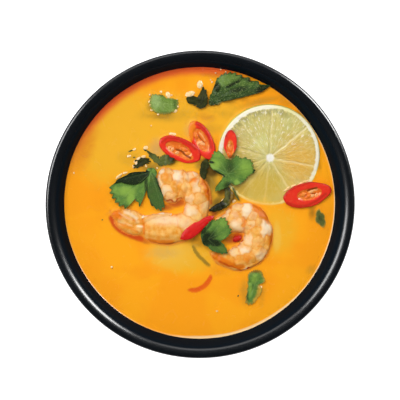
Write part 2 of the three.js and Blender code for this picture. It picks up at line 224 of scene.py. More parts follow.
# Even steps along a smooth curve through the points, as places and directions
def alongPath(points, count):
    inner = [Vector(point).to_3d() for point in points]
    run = [2 * inner[0] - inner[1], *inner, 2 * inner[-1] - inner[-2]]
    fine = []
    for a, b, c, d in zip(run, run[1:], run[2:], run[3:]):
        for step in range(12):
            t = step / 12
            fine.append(b + 0.5 * t * (c - a + t * (2 * a - 5 * b + 4 * c - d + t * (3 * (b - c) + d - a))))
    fine.append(inner[-1])
    reach = [0]
    for a, b in zip(fine, fine[1:]):
        reach.append(reach[-1] + (b - a).length)
    places = []
    index = 0
    for step in range(count):
        goal = reach[-1] * step / (count - 1)
        while index < len(fine) - 2 and reach[index + 1] < goal:
            index += 1
        part = (goal - reach[index]) / (reach[index + 1] - reach[index])
        places.append(fine[index].lerp(fine[index + 1], part))
    ends = [places[0], *places, places[-1]]
    return [(place, (after - before).normalized())
            for place, before, after in zip(places, ends, ends[2:])]


# shader maths: a value or vector on its way through a material's nodes
class Flow:
    def __init__(self, socket):
        self.socket = socket

    # any node, by its type: its inputs by name or number, then its own settings
    def node(self, kind, inputs, output=0, **settings):
        tree = self.socket.id_data
        made = tree.nodes.new("ShaderNode" + kind)
        for name, value in settings.items():
            setattr(made, name, value)
        for key, value in inputs.items():
            if isinstance(value, Flow):
                tree.links.new(value.socket, made.inputs[key])
            else:
                made.inputs[key].default_value = value
        return Flow(made.outputs[output])

    def __add__(self, other):
        return self.node("Math", {0: self, 1: other}, operation="ADD")

    def __sub__(self, other):
        return self.node("Math", {0: self, 1: other}, operation="SUBTRACT")

    def __rsub__(self, other):
        return self.node("Math", {0: other, 1: self}, operation="SUBTRACT")

    def __mul__(self, other):
        return self.node("Math", {0: self, 1: other}, operation="MULTIPLY")

    def __truediv__(self, other):
        return self.node("Math", {0: self, 1: other}, operation="DIVIDE")

    def __pow__(self, other):
        return self.node("Math", {0: self, 1: other}, operation="POWER")

    __radd__ = __add__
    __rmul__ = __mul__


# A colour from its levels out of 255
def tint(*levels):
    shares = [level / 255 for level in levels]
    return (*[v / 12.92 if v <= 0.04045 else ((v + 0.055) / 1.055) ** 2.4 for v in shares], 1)


def fade(value, low, high):
    inputs = {"Value": value, "From Min": low, "From Max": high}
    return value.node("MapRange", inputs, interpolation_type="SMOOTHSTEP")


def blend(factor, under, over):
    return factor.node("Mix", {0: factor, 6: under, 7: over}, output=2, data_type="RGBA")


# Lays a tone over a colour where a mark is, its edge frayed by a noise
def lay(colour, tone, mark, noise, fray, low, high):
    return blend(fade(mark + (noise - 0.5) * fray, low, high), colour, tone)


def grain(coords, size, detail=3, roughness=0.5, distortion=0):
    inputs = {"Vector": coords, "Scale": 1 / (size * mm), "Detail": detail,
              "Roughness": roughness, "Distortion": distortion}
    return coords.node("TexNoise", inputs)


def painted(coords, name):
    return coords.node("Attribute", {}, output=2, attribute_name=name)


def axisOf(coords, index):
    return coords.node("SeparateXYZ", {"Vector": coords}, output=index)


# 0 above the upper height and 1 below the lower one
def fadeDown(coords, upper, lower):
    return fade(axisOf(coords, 2), upper * mm, lower * mm)


def relief(height, depth, strength=1):
    return height.node("Bump", {"Height": height, "Distance": depth * mm, "Strength": strength})


# look is given the object coordinates, and returns a Flow for each socket that varies
def makeMaterial(name, look, fixed):
    material = bpy.data.materials.new(name)
    material.use_nodes = True
    tree = material.node_tree
    shader = tree.nodes["Principled BSDF"]
    for socket, value in fixed.items():
        shader.inputs[socket].default_value = value
    coords = Flow(tree.nodes.new("ShaderNodeTexCoord").outputs["Object"])
    for socket, flow in look(coords).items():
        tree.links.new(flow.socket, shader.inputs[socket])
    return material


# The fixed values of a moist flesh that lets some light in, as deep as depth
def moist(roughness, gloss, share, radius, depth):
    return {"Roughness": roughness, "Specular IOR Level": gloss, "Subsurface Weight": share,
            "Subsurface Radius": radius, "Subsurface Scale": depth * mm}


def finish(piece, material, slotName, *nodes):
    piece.data.materials.clear()
    piece.data.materials.append(material)
    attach(piece, "root")
    if nodes:
        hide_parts(*nodes)


# the bowl: one wall drawn from the foot over the lip and down inside
bowl = {
    "outerWall": {"reach": 85.9, "rise": 107.8, "start": -3.94,
                  "fromDeg": 26.6, "toDeg": 66.6, "steps": 14},
    "innerWall": {"reach": 81.1, "rise": 91.9, "start": 7.5,
                  "fromDeg": 3, "toDeg": 62.4, "steps": 15},
    "foot": [[28, 2.5], [30.6, 2.5], [31.2, 2.4], [32.7, 0.2], [33.2, 0], [35.7, 0], [36.2, 0.15],
             [36.9, 0.9], [37, 1.4], [37, 4.6], [37.2, 5.4]],
    "lip": [[79.65, 63.9], [80.06, 64.5], [79.98, 64.95], [79.65, 65.4], [79.3, 65.66], [78.9, 65.9],
            [78.4, 66.06], [77.6, 66.08], [76.6, 65.8], [75.5, 65.25], [74.6, 64.5], [73.9, 63.5],
            [73.35, 62.2], [72.8, 60.6], [72.25, 58.8]],
    "segments": 64, "floorTop": 10, "skin": 1.8, "shadeDepth": 0.8, "shadeHeights": (64.1, 65.3),
    "squeeze": 0.6, "longDeg": 98, "squeezeHeights": (40, 50, 62, 65),
    "bareHeights": (0.95, 0.45), "dullHeights": (61, 50),
    "glaze": tint(13, 17, 21),
    "sheen": tint(18, 22, 27),
    "shaded": tint(15, 24, 32),
    "clay": tint(58, 50, 44),
}


def wallReach(height):
    wall = bowl["innerWall"]
    return wall["reach"] * math.sin(math.acos(1 - (height - wall["start"]) / wall["rise"]))


def wallSqueeze(place):
    along, across = turnedBy(place.x, place.y, bowl["longDeg"])
    return bowl["squeeze"] * across * across / (along * along + across * across or 1)


def wallArc(wall):
    steps = wall["steps"]
    turns = [math.radians(wall["fromDeg"] + (wall["toDeg"] - wall["fromDeg"]) * i / steps)
             for i in range(steps + 1)]
    return [[wall["reach"] * math.sin(t), wall["start"] + wall["rise"] * (1 - math.cos(t))] for t in turns]


def glazeLook(coords):
    speckle = grain(coords, 0.5, detail=2)
    cloud = grain(coords, 14, detail=3)
    bare = fadeDown(coords, *bowl["bareHeights"])
    inside = painted(coords, "inside")
    below = fadeDown(coords, *bowl["dullHeights"]) * (1 - inside)
    glaze = blend(fade(speckle * 0.6 + cloud * 0.4, 0.42, 0.62), bowl["glaze"], bowl["sheen"])
    # painted shade: the inside mask paints the inner wall the darker, bluer shaded tint and takes most of
    # its coat away
    glaze = blend(inside, glaze, bowl["shaded"])
    height = grain(coords, 2.2, detail=2) * 0.5 + speckle * (0.05 + bare * 0.8)
    return {
        "Base Color": blend(bare, glaze, bowl["clay"]),
        "Roughness": 0.5 + cloud * 0.1 + bare * 0.3,
        "Coat Weight": (1 - bare) * (1 - inside * 0.96) * (1 - below * 0.7),
        "Normal": relief(height, 0.05, 0.5),
    }


def dressBowl():
    profile = [*bowl["foot"], *wallArc(bowl["outerWall"]), *bowl["lip"], *wallArc(bowl["innerWall"])[::-1]]
    shell = ringBody("glazedBowl", profile, bowl["segments"])
    withModifier(shell, "SUBSURF", levels=2, render_levels=2)

    # the wall's upper part inside is a touch narrower across than along
    def shape(place, normal):
        out = math.hypot(place.x, place.y)
        inside = place.z > bowl["floorTop"] and out < wallReach(place.z) + bowl["skin"]
        intoWall = out - wallReach(place.z) if inside else bowl["skin"]
        squeeze = wallSqueeze(place) * between(place.z, *bowl["squeezeHeights"]) if inside else 0
        # the inside mask: the inner wall between the soup and the lip, which gets painted shade
        shaded = 1 - smooth(intoWall, bowl["shadeDepth"], bowl["skin"])
        shaded *= 1 - smooth(place.z, *bowl["shadeHeights"])
        return place - Vector((place.x, place.y, 0)) / (out or 1) * squeeze, shaded

    carve(shell, ["inside"], shape)
    clean(shell)
    fixed = {"Specular IOR Level": 0, "Coat IOR": 1.55, "Coat Roughness": 0.25}
    finish(shell, makeMaterial("blackGlaze", glazeLook, fixed), "glaze", "bowl")
    print("bowl drawn")


# the lime: a slice whose juice sacs run out from the core between its membranes
lime = {
    "at": (35.8, 25.4), "radius": 26.6, "thickness": 3.8,
    "topHeight": 56.4, "tiltDeg": 5, "lowTowardsDeg": -100,
    "core": (36.4, 24.2), "coreRadius": 1.9, "pith": 1.9, "segments": 300, "rings": 66,
    "membranesDeg": [-59, -11, 40, 88, 128, 163, 197, 232, 263],
    "membraneShows": [0.45, 0.5, 0.9, 0.3, 0.15, 0.3, 0.35, 0.3, 0.4],
    "cushion": 0.35, "sacsAround": 9, "sacLength": 4.6, "rayLength": 7, "sacRise": 0.18,
    "membraneWidths": (0.15, 1.3), "grit": 0.14, "rimDrop": 0.35, "rindHeights": (54.2, 53.8),
    "juice": tint(204, 188, 104),
    "juiceGreen": tint(202, 194, 120),
    "sacWall": tint(232, 218, 150),
    "sacShade": tint(176, 156, 74),
    "sacTip": tint(140, 136, 92),
    "membrane": tint(242, 226, 170),
    "pithCream": tint(234, 226, 160),
    "pithWhite": tint(244, 238, 214),
    "rind": tint(206, 200, 80),
    "brothTint": tint(206, 170, 66),
    "heart": tint(252, 246, 232),
    "patches": [
        (tint(222, 172, 72), (52.1, 23), 18.7, 0.9),
        (tint(216, 214, 138), (32.2, 32.5), 6.7, 0.45),
        (tint(196, 178, 110), (21.2, 35.6), 9.3, 0.6),
        (tint(196, 168, 62), (37.5, 12.6), 10.4, 0.75),
        (tint(202, 172, 74), (31.2, 7.9), 10.4, 0.85),
        (tint(232, 200, 98), (32.8, -0.5), 6.7, 0.7),
        (tint(206, 190, 112), (35.2, 44.9), 8.3, 0.5),
        # the brown patch below is the leaf's painted shadow on the lime
        (tint(166, 126, 40), (21.3, 8.5), 6.7, 0.9),
    ],
}


def limePlace():
    low = math.radians(lime["lowTowardsDeg"])
    tilt = Matrix.Rotation(math.radians(lime["tiltDeg"]), 4, Vector((-math.sin(low), math.cos(low), 0)))
    return Matrix.Translation(Vector((*lime["at"], lime["topHeight"])) * mm) @ tilt


# How far a place is from the nearest membrane, measured from the core
def awayFromMembrane(x, y):
    best = 1e9
    for deg in lime["membranesDeg"]:
        along, across = turnedBy(x, y, deg)
        if along > 0:
            best = min(best, abs(across))
    return best


def limeRelief(place, normal):
    coreX, coreY = lime["core"][0] - lime["at"][0], lime["core"][1] - lime["at"][1]
    if place.z < -0.5:
        return (place,)
    x, y = place.x - coreX, place.y - coreY
    out, reach = math.hypot(x, y), lime["radius"] - math.hypot(place.x, place.y)
    flesh = smooth(reach, lime["pith"] - 0.3, lime["pith"] + 1.2) * smooth(out, lime["coreRadius"], 4)
    membrane = 1 - smooth(awayFromMembrane(x, y), *lime["membraneWidths"])
    angle = math.atan2(y, x)
    sacs = noise.voronoi(Vector((angle * lime["sacsAround"], out / lime["sacLength"], 0)))[0]
    sac = lime["sacRise"] * smooth(sacs[1] - sacs[0], 0, 0.5)
    rise = flesh * (lime["cushion"] * (1 - membrane) + sac - 0.1)
    rise += lime["grit"] * bumps(place, 1.4, 3) * flesh
    drop = lime["rimDrop"] * (1 - smooth(reach, 0, 0.9))
    return (place + Vector((0, 0, rise - drop)),)


# The lime's colours at a place, from the plan coordinates that the slice and the broth over it share
def limeColour(coords):
    plan = coords.node("VectorMath", {0: coords, 1: (1 / mm, 1 / mm, 0)}, operation="MULTIPLY")
    fromCore = plan.node("VectorMath", {0: plan, 1: (*lime["core"], 0)}, operation="SUBTRACT")
    x, y = axisOf(fromCore, 0), axisOf(fromCore, 1)
    out = fromCore.node("VectorMath", {0: fromCore}, output=1, operation="LENGTH")
    toEdge = plan.node("VectorMath", {0: plan, 1: (*lime["at"], 0)}, output=1, operation="DISTANCE")
    angle = y.node("Math", {0: y, 1: x}, operation="ARCTAN2")
    polar = out.node("CombineXYZ", {0: angle * lime["sacsAround"], 1: out / lime["sacLength"]})
    sacEdge = polar.node("TexVoronoi", {"Vector": polar, "Scale": 1}, feature="DISTANCE_TO_EDGE")
    streak = polar.node("TexNoise", {"Vector": polar, "Scale": 1.3, "Detail": 4, "Roughness": 0.6})
    cloud = grain(coords, 5, detail=3)
    juice = blend(fade(cloud, 0.35, 0.65), lime["juice"], lime["juiceGreen"])
    for tone, at, reach, strength in lime["patches"]:
        away = plan.node("VectorMath", {0: plan, 1: (*at, 0)}, output=1, operation="DISTANCE")
        juice = blend(fade(away + (cloud - 0.5) * 6, reach, 0.2 * reach) * strength, juice, tone)
    juice = blend(fade(streak, 0.52, 0.74) * 0.5, juice, lime["sacWall"])
    juice = blend(fade(streak, 0.42, 0.26) * 0.3, juice, lime["sacShade"])
    juice = blend(fade(sacEdge, 0.08, 0.02) * 0.2, juice, lime["sacWall"])
    inner = lime["radius"] - lime["pith"]
    tips = fade(toEdge, inner - 5, inner - 1.5) * fade(y - x * 1.5, 0, 16) * fade(streak, 0.6, 0.46)
    juice = blend(tips * 0.6, juice, lime["sacTip"])
    # painted highlights: white glints streaked out over the flesh's upper side, in the heart's pale colour
    rays = out.node("CombineXYZ", {0: angle * lime["sacsAround"] * 1.4, 1: out / lime["rayLength"]})
    glint = rays.node("TexNoise", {"Vector": rays, "Scale": 2.2, "Detail": 3, "Roughness": 0.65})
    upper = fade(x * 0.5 - y, 8, -4) * fade(out, 3, 7)
    juice = blend(fade(glint, 0.54, 0.68) * upper * 0.8, juice, lime["heart"])
    for deg, strength in zip(lime["membranesDeg"], lime["membraneShows"]):
        turn = math.radians(deg)
        along = x * math.cos(turn) + y * math.sin(turn)
        across = y * math.cos(turn) - x * math.sin(turn)
        width = across.node("Math", {0: across + (cloud - 0.5) * 1.2}, operation="ABSOLUTE")
        line = fade(width, 0.85, 0.1) * fade(along, 0, 2.5)
        juice = blend(line * strength, juice, lime["membrane"])
    heart = fade(out + (streak - 0.5) * 3.4, lime["coreRadius"] + 0.7, lime["coreRadius"] - 0.4)
    juice = blend(heart, juice, lime["heart"])
    white = fade(y - x, 14, 30)
    right = fade(x, 8, 20) * fade(y, -16, -6)
    pith = fade(toEdge + (streak - 0.5) * 2 + white * 0.7 + right * 0.5, inner - 0.1, inner + 0.6)
    whiter = blend(right * 0.9 + white, lime["pithCream"], lime["pithWhite"])
    juice = blend(fade(x + y, 0, -16) * 0.6, juice, lime["brothTint"])
    slab = blend(pith, juice, whiter)
    return blend(fade(toEdge, lime["radius"] - 0.6, lime["radius"]), slab, lime["rind"]), sacEdge


def limeLook(coords):
    colour, sacEdge = limeColour(coords)
    side = fadeDown(coords, *lime["rindHeights"])
    return {
        "Base Color": blend(side * 0.3, colour, lime["rind"]),
        "Normal": relief(fade(sacEdge, 0, 0.3) + grain(coords, 0.8), 0.2, 0.5),
    }


def dressLime():
    radius, under, rings = lime["radius"], -lime["thickness"], lime["rings"]
    side = [[radius - 0.8, under], [radius - 0.2, under + 0.5], [radius, under + 1.1],
            [radius, -0.9], [radius - 0.03, -0.1], [radius - 0.1, 0]]
    face = [[side[-1][0] * (1 - k / rings), 0] for k in range(1, rings)]
    core = (lime["core"][0] - lime["at"][0], lime["core"][1] - lime["at"][1])
    piece = ringBody("limeSlice", side, lime["segments"], face, core)
    carve(piece, [], limeRelief)
    settle(piece, limePlace())
    clean(piece)
    material = makeMaterial("limeFlesh", limeLook, moist(0.35, 0.2, 0.15, (1, 0.8, 0.3), 1.5))
    finish(piece, material, "lime", "lime_slice")
    print("lime cut")
    return piece


# the prawns: their solids, rounded, with the flesh standing in pads that orange creases part.
# A pad is its middle, half size, turn and paleness. A joint is a lump that closes a gap in the solid.
# lumps lists the height, size and seed of the noises that break up the surface.
flesh = {
    "voxel": 0.42, "rounding": 10, "swell": 0.3, "dome": 0.22, "crease": 0.18, "creaseWidth": 0.2,
    "wander": 1.4, "blur": 0.6, "paleness": 0.78, "wetAbove": 1.1,
    "lumps": [(0.3, 2.6, 5), (0.12, 1.1, 9)],
    "peach": tint(232, 154, 48),
    "cream": tint(240, 184, 96),
    "white": tint(244, 222, 188),
    "orange": tint(226, 120, 18),
    "deep": tint(192, 62, 12),
    "wet": tint(240, 140, 30),
}
prawns = {
    "prawnLeft": {
        "node": "prawn_left", "calm": (-31, -11, 22),
        "joints": [
            [(-9, 10.8, 56), (3.4, 7.3, 3.2), 4], [(-27.2, -7.6, 55.6), (3.1, 1.7, 1.6), 10],
            [(-22, -5.9, 55.6), (7.3, 0.9, 1.5), 8],
        ],
        "pads": [
            [(-20.8, -11.8), (8.3, 6.8), -3, 0.15], [(-8.2, -9.3), (3.1, 4.7), 10, 0.6],
            [(-5.1, -3.1), (3.6, 3.1), 10, 0.75], [(1.7, -0.6), (3.1, 2.6), 0, 0.5],
            [(-0.4, 3.1), (3.1, 2.6), 0, 0.3], [(-5.1, 3.2), (3.1, 2.6), -10, 0.6],
            [(-1.9, 9.4), (2.1, 4.2), 6, 0.7], [(1.7, 8.9), (2.1, 4.2), 12, 0],
            [(-7.2, 7.9), (2.6, 3.1), 0, 0.3], [(-6.1, 15.2), (3.6, 2.1), 0, 0.6],
            [(-2.5, 16.2), (1.6, 1.6), 0, 0.8], [(-11.9, 14.8), (2.9, 3.6), 15, 1],
            [(-16, 16.9), (2.1, 2.6), 0, 0.35], [(-20.7, 18), (2.1, 2.6), 0, 0.95],
            [(-21.2, 12.8), (1.8, 4.2), 5, 0.7], [(-17.1, 13.8), (2.6, 2.6), 0, 0.05],
            [(-18.1, 7.5), (3.1, 3.6), 0, 0.75], [(-15.5, 4.4), (3.1, 2.6), 0, 0.45],
            [(-12.9, 9.6), (2.1, 3.1), 0, 0.1], [(-9.3, 4.3), (2.1, 3.1), 0, 0.2],
            [(-36.6, -4.5), (4.7, 1.3), -38, 0.5], [(-38.1, -7.1), (5.2, 1.2), -38, 0.2],
            [(-39.7, -9.5), (4.7, 1.3), -36, 0.2], [(-37.1, -12.4), (4.7, 1.2), -32, 0.1],
            [(-44.9, -5.8), (2.6, 2.1), -40, 0], [(-31.7, -12.1), (2.1, 2.1), 0, 0.3],
            [(-32.9, -8.7), (1.6, 1), -30, 0.4],
        ],
        "marks": {
            "pale": [
                dab((-11.6, 14.8), (2.1, 3.1), 0.95, 0.8, turnDeg=15),
                dab((-5.4, -3.3), (3.1, 2.3), 0.7, 0.9, turnDeg=10),
                # the small pale dab below is a painted highlight
                dab((-31.5, -11.4), (1.8, 0.7), 0.75, turnDeg=-8, lift=0.25),
                dab((-18.2, -8), (9.5, 2.8), 0.6, 0.8), dab((-12.4, -8.2), (3.1, 2.6), 0.6, 0.7),
                stroke([(-30.1, -6.7), (-27, -5.4), (-22.8, -4.6), (-19.2, -4.7)], 0.6, lift=0.5),
                stroke([(-15.5, -5.6), (-12.9, -4.3), (-10.3, -3.3)], 0.6, 0.9, lift=0.5),
                stroke([(-39.2, -4), (-36, -5.1), (-33.2, -7.2)], 0.8, 0.6, lift=0.4),
                stroke([(-42.3, -4.5), (-38.7, -6.4), (-35.5, -7.7)], 0.5, 0.5, lift=0.3),
                stroke([(-42.8, -9), (-39.2, -9.5), (-35.6, -11.1)], 0.5, 0.3, lift=0.3),
            ],
            "orange": [
                dab((-43.6, -4.7), (3.6, 2.6), 1, 0.6, turnDeg=-35),
                dab((-17.3, 14), (2.3, 2.1), 0.5, 0.8), dab((-3.5, 12.8), (2.1, 1.4), 1, 0.6, lift=-0.2),
                dab((-12.9, 10.1), (2.1, 2.6), 0.25, 0.8), dab((-8.7, 4.3), (1.4, 2.6), 0.6, 0.7),
                stroke([(-41.5, -5.5), (-37.9, -6.6), (-33.8, -8.5)], 0.5, 0.7, 0.8, lift=-0.3),
                stroke([(-41.1, -10.4), (-36.9, -12.1), (-32.8, -14.2)], 0.7, 0.6, 0.8),
                stroke([(-30.1, -8), (-29.4, -10.6), (-29.4, -15.3)], 0.6, 0.8, 0.8, lift=-0.4),
                stroke([(-11.9, -6.1), (-11.6, -8.8), (-11.9, -11.9)], 0.4, 0.5, 0.8, lift=-0.2),
                stroke([(-26.5, -18.5), (-21.3, -19.4), (-15.1, -19.2)], 1.2, 0.8, 0.8),
                stroke([(1.5, 12.5), (3.2, 7.8), (4.3, 3.1)], 1.4, 1, 0.8),
            ],
            "deep": [
                stroke([(3.8, 7.8), (4.8, 4.6), (4.9, 1.5)], 0.5, 0.6, 0.8),
                stroke([(-46.7, -3.1), (-45.9, -7.2), (-41.6, -12.3), (-35.4, -15.8),
                        (-30.2, -17.7)], 0.9, 0.4, 0.9),
                stroke([(-30.2, -18.5), (-25.5, -20.1), (-18.2, -20.8), (-11.9, -19.8)], 0.6, 0.6, 0.7),
                # the stroke below is painted shade under the curl
                stroke([(-17.1, 2.3), (-13.4, 2), (-9.8, 3.3)], 0.7, 0.7, 0.8),
            ],
        },
    },
    "prawnRight": {
        "node": "prawn_right", "calm": (6, -30, 11), "joints": [],
        "pads": [
            [(24.4, -2.4), (2.9, 4.7), -8, 1], [(19.1, -0.8), (3.1, 2.6), 0, 0.5],
            [(28.1, -5.6), (2.1, 3.6), -10, 0.45], [(32.3, -4.6), (2.6, 3.6), 30, 0],
            [(33.9, -13.1), (3.1, 4.2), 8, 0.9], [(27, -10.4), (2.6, 2.6), 0, 0.5],
            [(30.2, -9.4), (2.1, 3.1), 0, 0.25], [(29.2, -14.6), (2.6, 2.6), 0, 0.1],
            [(24.4, -11.9), (2.1, 2.6), 0, 0.35], [(19.6, -10.8), (2.6, 2.6), 0, 0.7],
            [(18, -6), (3.1, 2.1), 0, 0.15], [(13.3, -4.9), (2.6, 2.1), 0, 0.75],
            [(25.5, -18.3), (2.6, 2.6), 0, 0.7], [(29.7, -19.4), (2.6, 2.6), 0, 0.3],
            [(22.8, -24.1), (3.1, 2.3), -8, 0.9], [(17.6, -25.6), (2.6, 2.6), 0, 0.6],
            [(31.3, -26.3), (3.6, 2.6), 18, 0.65], [(26, -28.4), (2.6, 2.6), 0, 0.05],
            [(21.3, -29.9), (3.1, 2.6), 0, 0.15], [(35.6, -21.6), (1.6, 4.7), 6, 0],
            [(13.3, -29.2), (4.2, 3.1), -24, 0], [(6.5, -25.9), (3.1, 2.1), -30, 0.15],
            [(26.1, -32.6), (3.6, 1.6), 12, 0.1],
        ],
        "marks": {
            "pale": [
                dab((24.1, -1.4), (1.9, 3.1), lift=0.25), dab((18.4, -5.5), (2.1, 2.1), 0.45, 0.9),
                dab((21.8, -12.9), (1.8, 1.6), 0.5, 0.9),
                dab((34.1, -11.9), (2.1, 3.4), 0.9, 0.8, turnDeg=8),
                dab((22.9, -23.7), (2.6, 1.9), 0.8, 0.8, turnDeg=-10),
                # the small dab at (19.1, -15.5) and the one at (23.9, -33.6) below are painted highlights
                dab((18.1, -9.7), (2.6, 2.1), 0.7, 0.9), dab((19.1, -15.5), (1.1, 0.8), 0.4, lift=0.3),
                dab((23.9, -33.6), (1.4, 0.5), 0.5, lift=0.2), dab((17.5, 0.6), (1, 0.8), 0.7, lift=0.3),
                stroke([(17, -22.1), (19.1, -21.4), (21.5, -20.2)], 0.4, 0.6, lift=0.35),
            ],
            "orange": [
                dab((15.4, -2.3), (1.6, 1), 0.8, 0.6), dab((25, -28.3), (2.1, 2.1), 0.6, 0.7),
                stroke([(27.6, -0.9), (31.8, -4), (34.8, -8.3)], 1.8, 1, 0.7),
                stroke([(22.5, -6.1), (23.1, -9.8), (22.5, -14)], 0.6, 0.8, 0.8, lift=-0.25),
                stroke([(8.1, -27.5), (13.3, -30.3), (20.8, -33)], 1.8, 1, 0.7),
                stroke([(37.1, -16.9), (37.2, -22.2), (35.6, -27.5)], 1.4, 1, 0.7),
            ],
            "deep": [
                dab((20.2, -17.4), (2.9, 2.6), 1, 0.5), dab((15.4, -19.2), (3.1, 2.1), 0.7, 0.6),
                stroke([(37.4, -19), (37.4, -23.2), (35.6, -28), (32.4, -31.1)], 0.6, 0.6, 0.8),
                stroke([(25.5, -33.9), (28.7, -33.2), (32.4, -31.1)], 1, 1, 0.7),
                stroke([(10.2, -29.7), (15.5, -32.4), (20.8, -34.6), (25, -35.2)], 0.6, 0.6, 0.8),
            ],
        },
    },
}
fleshPaint = ["pale", "orange", "deep"]


# How far a place lies out in a pad, as a share of its half size
def padReach(pad, x, y):
    at, half, turnDeg, pale = pad
    along, across = turnedBy(x - at[0], y - at[1], turnDeg)
    return math.hypot(along / half[0], across / half[1])


def fleshLook(coords):
    pale, orange, deep = (painted(coords, name) for name in fleshPaint)
    cloud = grain(coords, 3.4, detail=4, roughness=0.6)
    fibre = grain(coords, 0.8, detail=3)
    colour = blend(fade(cloud, 0.36, 0.66), flesh["peach"], flesh["cream"])
    # the pale marks are the white flesh, with a few painted highlights among them
    colour = lay(colour, flesh["white"], pale, fibre, 0.15, 0, 1.05)
    colour = lay(colour, flesh["orange"], orange, cloud, 0.5, 0.05, 0.95)
    # the deep marks are the prawns' red edges, and one is painted shade under the curl
    colour = lay(colour, flesh["deep"], deep, cloud, 0.4, 0.1, 0.9)
    veins = fade(fibre * 0.3 + cloud * 0.7, 0.45, 0.4) * (1 - pale) * 0.2
    colour = blend(veins, colour, flesh["orange"])
    wet = fadeDown(coords, soupLevel + flesh["wetAbove"], soupLevel - 0.1)
    return {
        "Base Color": blend(wet * 0.85, colour, flesh["wet"]),
        "Normal": relief(fibre * 0.3 + cloud * 0.6, 0.2, 0.5),
    }


def dressPrawn(name, prawn, material):
    joints = [blob(*joint) for joint in prawn["joints"]]
    body = join(name, [copyOf(prawn["node"], name), *joints])
    soften(body, flesh["voxel"], flesh["rounding"])
    lifting = [mark for group in prawn["marks"].values() for mark in group if mark["lift"]]

    def shape(place, normal):
        calmX, calmY, calmReach = prawn["calm"]
        fromCalm = math.hypot(place.x - calmX, place.y - calmY)
        wander = flesh["wander"] * smooth(fromCalm, 0.8 * calmReach, calmReach)
        x = place.x + wander * bumps(place, 2.4, 11)
        y = place.y + wander * bumps(place, 2.4, 17)
        near = sorted((padReach(pad, x, y), pad[3]) for pad in prawn["pads"])[:2]
        (inner, paleness), (outer, neighbour) = near
        crease = math.exp(-((outer - inner) / flesh["creaseWidth"]) ** 2)
        top = smooth(normal.z, -0.1, 0.6)
        dome = max(1 - inner * inner, -0.4)
        lift = flesh["swell"] + top * (flesh["dome"] * dome - flesh["crease"] * crease)
        lift += top * sum(markAt(mark, x, y) * mark["lift"] for mark in lifting)
        lift += sum(rise * bumps(place, size, seed) for rise, size, seed in flesh["lumps"])
        pale, orange, deep = (marksAt(prawn["marks"], kind, x, y) for kind in fleshPaint)
        share = 0.5 + 0.5 * smooth(outer - inner, 0, flesh["blur"])
        paleness = flesh["paleness"] * (paleness * share + neighbour * (1 - share))
        paleness *= (1 - 0.6 * smooth(inner, 0.4, 1.4)) * (1 - 0.4 * crease)
        pale = max(pale, paleness)
        orange = max(orange * (1 - 0.7 * pale), 0.55 * crease * (1 - 0.7 * pale), 0.6 * (1 - top))
        return place + normal * lift, pale, orange, deep

    carve(body, fleshPaint, shape)
    clean(body, 80)
    finish(body, material, "prawn", prawn["node"])
    print(name, "shaped,", len(body.data.polygons), "faces")
    return body


def dressPrawns():
    material = makeMaterial("prawnFlesh", fleshLook, moist(0.4, 0.1, 0.15, (1, 0.6, 0.25), 1.2))
    return [dressPrawn(name, prawn, material) for name, prawn in prawns.items()]


